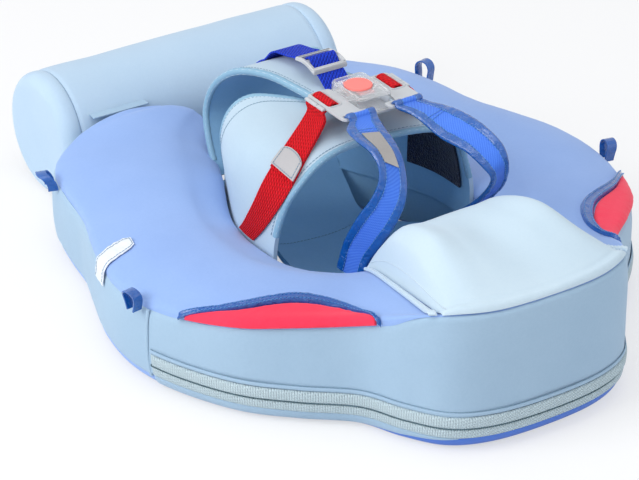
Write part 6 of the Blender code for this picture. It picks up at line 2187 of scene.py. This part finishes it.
def rounded_loop(x_span: Sequence[float], y_span: Sequence[float], corner: float, steps: int = 6) -> np.ndarray:
    """A closed plan outline of a rectangle with round corners.

    Args:
        x_span: Its two places along X.
        y_span: Its two places along Y.
        corner: Radius of the corners.
        steps: Points in each corner.

    Returns:
        Rows of x and y.
    """
    turns = np.linspace(0, math.pi / 2, steps)
    arc = np.stack([np.cos(turns), np.sin(turns)], axis=1) * corner
    (x0, x1), (y0, y1) = sorted(x_span), sorted(y_span)
    centres = ((x1 - corner, y1 - corner), (x0 + corner, y1 - corner), (x0 + corner, y0 + corner),
               (x1 - corner, y0 + corner))
    spins = (((1, 0), (0, 1)), ((0, -1), (1, 0)), ((-1, 0), (0, -1)), ((0, 1), (-1, 0)))
    return np.concatenate([arc @ np.array(spin).T + centre for centre, spin in zip(centres, spins)])


@dataclass
class Buckle:
    """The buckle's moulded details: soft edges, lips, ribs, a fine spring and the ladder lock's rolled rim."""

    shop: Workshop
    buckle: BuckleSizes
    harness_height: float = 0.170
    spring_radius: float = 0.0045
    spring_wire: float = 0.0005
    spring_turns: int = 5
    ear_drop: float = 0.0015
    rib_half: float = 0.0105
    soft_edges: tuple = (
        ("buckle_cover", 0.0007), ("buckle_base", 0.0005), ("buckle_button", 0.0004), ("ladder_lock", 0.0008),
        ("tongue_a", 0.0005), ("tongue_b", 0.0005), ("tongue_a_grip", 0.0006), ("tongue_b_grip", 0.0006),
    )

    def build(self) -> None:
        """Add every detail."""
        self.soften()
        self.cover()
        self.spring()
        for side in Side:
            self.window_lip(side)
        self.lock_rim()

    def soften(self) -> None:
        """Round the edges of the moulded CAD nodes that stay in view."""
        for name, width in self.soft_edges:
            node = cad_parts[name]
            step = node.modifiers.new("soft_edges", "BEVEL")
            step.width = width
            step.segments = 2
            step.limit_method = "ANGLE"
            step.angle_limit = math.radians(40)
            step.harden_normals = True

    def raised(self, outline: np.ndarray, height: float) -> np.ndarray:
        """A plan outline about the button's middle, at a height above the buckle's underside."""
        flat = np.full((len(outline), 1), self.buckle.floor + height)
        return np.concatenate([outline + (self.buckle.x, self.buckle.y), flat], axis=1)

    def cover(self) -> None:
        """The clear cover's raised lip, and the ribs in front of the button."""
        b = self.buckle
        clear = self.shop.palette.clear_plastic
        inset = b.wall * 1.2
        half_x, half_y = b.half_width - inset, b.half_length - inset
        loop = rounded_loop((-half_x, half_x), (-half_y - b.lead, half_y - b.lead), b.corner - inset)
        self.shop.tube("cover_lip", self.raised(loop, b.height), 0.0006, 0.0005, clear, closed=True)
        dish = b.height - b.dish
        front, first = -b.half_length - b.lead + b.wall * 3.0, -b.button_radius - 0.0022
        for number, y in enumerate(np.linspace(front, first, 4)):
            line = np.array([(-self.rib_half, y), (0.0, y), (self.rib_half, y)])
            self.shop.tube(f"cover_rib_{number}", self.raised(line, dish), 0.00045, 0.0005, clear)

    def spring(self) -> None:
        """The coil spring below the button."""
        b = self.buckle
        low = b.base_thickness + b.clearance + self.spring_wire
        high = b.height - b.dish - b.wall - self.ear_drop - b.clearance - self.spring_wire
        turns = np.linspace(0, 2 * math.pi * self.spring_turns, 24 * self.spring_turns + 1)
        path = np.stack([b.x + self.spring_radius * np.cos(turns), b.y + self.spring_radius * np.sin(turns),
                         b.floor + low + (high - low) * turns / turns[-1]], axis=1)
        coil = self.shop.tube("spring_coil", path, self.spring_wire, self.spring_wire,
                              self.shop.palette.steel, replaces=("button_spring",))
        self.shop.place((b.x, b.y, b.floor + low))
        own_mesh(coil)

    def window_lip(self, side: Side) -> None:
        """The raised lip round a tongue's webbing window.

        Args:
            side: The tongue's side.
        """
        b = self.buckle
        (near, far), (front, rear) = b.window
        grow = b.tongue_bar * 0.42
        xs = (side.sign * (near - grow), side.sign * (far + grow))
        loop = rounded_loop(xs, (front - grow, rear + grow), b.tongue_bar * 0.8)
        self.shop.tube(f"window_lip_{side.value}", self.raised(loop, b.blade_height + b.blade_thickness), 0.0009,
                       0.0008, self.shop.palette.grey_plastic, closed=True, body=side.tongue)

    def lock_rim(self) -> None:
        """The rolled rim of the ladder lock: thick at the front and the sides, slim behind."""
        b = self.buckle
        centre = b.lock_centre(self.harness_height)
        reach = b.lock_bar * 1.5 + b.lock_window
        ys = np.linspace(reach - 0.0016, 0.0016 - reach, 15)
        side = np.array([(b.lock_half_width - 0.0013, y, b.lock_height(y) + b.lock_thickness * 0.42) for y in ys])
        far = side[::-1] * (-1, 1, 1)
        path = np.concatenate([side, far])
        swell = np.concatenate([np.linspace(0.7, 1.0, len(ys)), np.linspace(1.0, 0.7, len(ys))])
        self.shop.tube("lock_rim", path + centre, 0.0014 * swell, 0.0013 * swell,
                       self.shop.palette.grey_plastic, None, 10, True, body=Body.LADDER_LOCK)


@dataclass
class Studio:
    """The camera at the photograph's angle, the pale floor and the soft light."""

    azimuth: float = -32.894
    elevation: float = 29.201
    lens: float = 157.75
    distance: float = 2.397
    target: tuple[float, float, float] = (-0.033, -0.03125, 0.05)
    lit_height: float = 0.05
    floor_size: float = 6.0
    floor_drop: float = 0.0002
    floor_glow: float = 0.57
    surround: float = 0.60
    lamps: tuple = (("key_lamp", (-2.1, 0.1, 1.5), 1.5, 36.0), ("top_lamp", (-0.3, -0.2, 2.2), 1.6, 13.0),
                    ("fill_lamp", (1.2, -1.8, 1.0), 2.0, 7.5))

    def build(self) -> None:
        """Set up the camera, the floor and the light."""
        bpy.context.scene.view_settings.view_transform = "Standard"
        self.camera()
        self.world()
        self.floor()
        for name, place, size, power in self.lamps:
            self.lamp(name, place, size, power)

    def hang(self, name: str, data: bpy.types.ID, place: Sequence[float],
             towards: Optional[Vector] = None) -> bpy.types.Object:
        """Put an object into the scene.

        Args:
            name: Its name.
            data: What it shows.
            place: Where it hangs.
            towards: The direction it faces.

        Returns:
            The object.
        """
        made = bpy.data.objects.new(name, data)
        bpy.context.scene.collection.objects.link(made)
        made.location = place
        if towards is not None:
            made.rotation_euler = towards.to_track_quat("-Z", "Y").to_euler()
        return made

    def camera(self) -> None:
        """Set the camera up."""
        data = bpy.data.cameras.new("photo_camera")
        data.lens = self.lens
        data.sensor_width = 36.0
        data.clip_end = 30.0
        a, e = math.radians(self.azimuth), math.radians(self.elevation)
        back = Vector((math.sin(a) * math.cos(e), -math.cos(a) * math.cos(e), math.sin(e)))
        place = Vector(self.target) + back * self.distance
        bpy.context.scene.camera = self.hang("photo_camera", data, place, -back)

    def lamp(self, name: str, place: tuple[float, float, float], size: float, power: float) -> None:
        """One soft square lamp that faces the ring.

        Args:
            name: The lamp's name.
            place: Where it hangs.
            size: The length of its sides.
            power: Its power in watts.
        """
        data = bpy.data.lights.new(name, "AREA")
        data.size = size
        data.energy = power
        self.hang(name, data, place, Vector((0, 0, self.lit_height)) - Vector(place))

    def world(self) -> None:
        """A white surround that lights the ring softly."""
        world = bpy.data.worlds.new("white_surround")
        world.use_nodes = True
        bpy.context.scene.world = world
        graph, nodes = Graph(world.node_tree), world.node_tree.nodes
        lit = graph.fill(nodes["Background"], {"Color": (0.93, 0.96, 1.0, 1.0), "Strength": self.surround})
        shown = graph.add("Background", {"Color": (1.0, 1.0, 1.0, 1.0), "Strength": 1.0})
        rays = graph.add("LightPath", {}).outputs
        seen = rays["Is Camera Ray"]
        for other in ("Is Glossy Ray", "Is Transmission Ray"):
            seen = graph.add("Math", {0: seen, 1: rays[other]}, operation="ADD", use_clamp=True).outputs[0]
        choose = graph.add("MixShader", {"Fac": seen, 1: lit.outputs[0], 2: shown.outputs[0]})
        graph.fill(nodes["World Output"], {"Surface": choose.outputs["Shader"]})

    def floor(self) -> None:
        """A plain pale floor that keeps a soft shadow."""
        half = self.floor_size / 2
        mesh = bpy.data.meshes.new("floor")
        mesh.from_pydata([(-half, -half, 0), (half, -half, 0), (half, half, 0), (-half, half, 0)], [],
                         [(0, 1, 2, 3)])
        made = bpy.data.materials.new("floor_white")
        made.use_nodes = True
        graph, nodes = Graph(made.node_tree), made.node_tree.nodes
        plain = graph.fill(nodes["Principled BSDF"], {"Base Color": (0.9, 0.9, 0.91, 1), "Roughness": 0.9,
                                                      "Specular IOR Level": 0.1})
        glow = graph.add("Emission", {"Strength": 1.0})
        seen = graph.add("LightPath", {}).outputs["Is Camera Ray"]
        share = graph.add("Math", {0: seen, 1: self.floor_glow}, operation="MULTIPLY").outputs[0]
        choose = graph.add("MixShader", {"Fac": share, 1: plain.outputs["BSDF"], 2: glow.outputs["Emission"]})
        graph.fill(nodes["Material Output"], {"Surface": choose.outputs["Shader"]})
        mesh.materials.append(made)
        self.hang("floor", mesh, (0, 0, -self.floor_drop))


def dress_carried_nodes(shop: Workshop) -> None:
    """Give each CAD node its finish: of the nodes that stay in view, all but three are grey plastic.

    Args:
        shop: The workshop, with the materials.
    """
    palette = shop.palette
    own = {"buckle_button": palette.coral_button, "buckle_cover": palette.clear_plastic,
           "latch_plate": palette.steel}
    for name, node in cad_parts.items():
        node.data.materials.clear()
        node.data.materials.append(shop.dye(own.get(name, palette.grey_plastic)))


def main() -> None:
    """Dress the ring, piece by piece."""
    logging.basicConfig(level=logging.INFO, format="%(name)s: %(message)s")
    Studio().build()
    shop, form, buckle = Workshop(-0.03125), RingForm(), BuckleSizes()
    dress_carried_nodes(shop)
    vest = VestForm(form)
    for assembly in (
        RingCovers(shop, form), ChestPad(shop, form), CrescentPanels(shop, form), ZipRound(shop, form),
        SmallTrim(shop, form), TailBolster(shop, form), Vest(shop, vest), Webbing(shop, vest, buckle),
        ShoulderStraps(shop, vest, buckle), Buckle(shop, buckle),
    ):
        assembly.build()
        LOG.info("made %s", type(assembly).__name__)


if __name__ == "__main__":
    main()
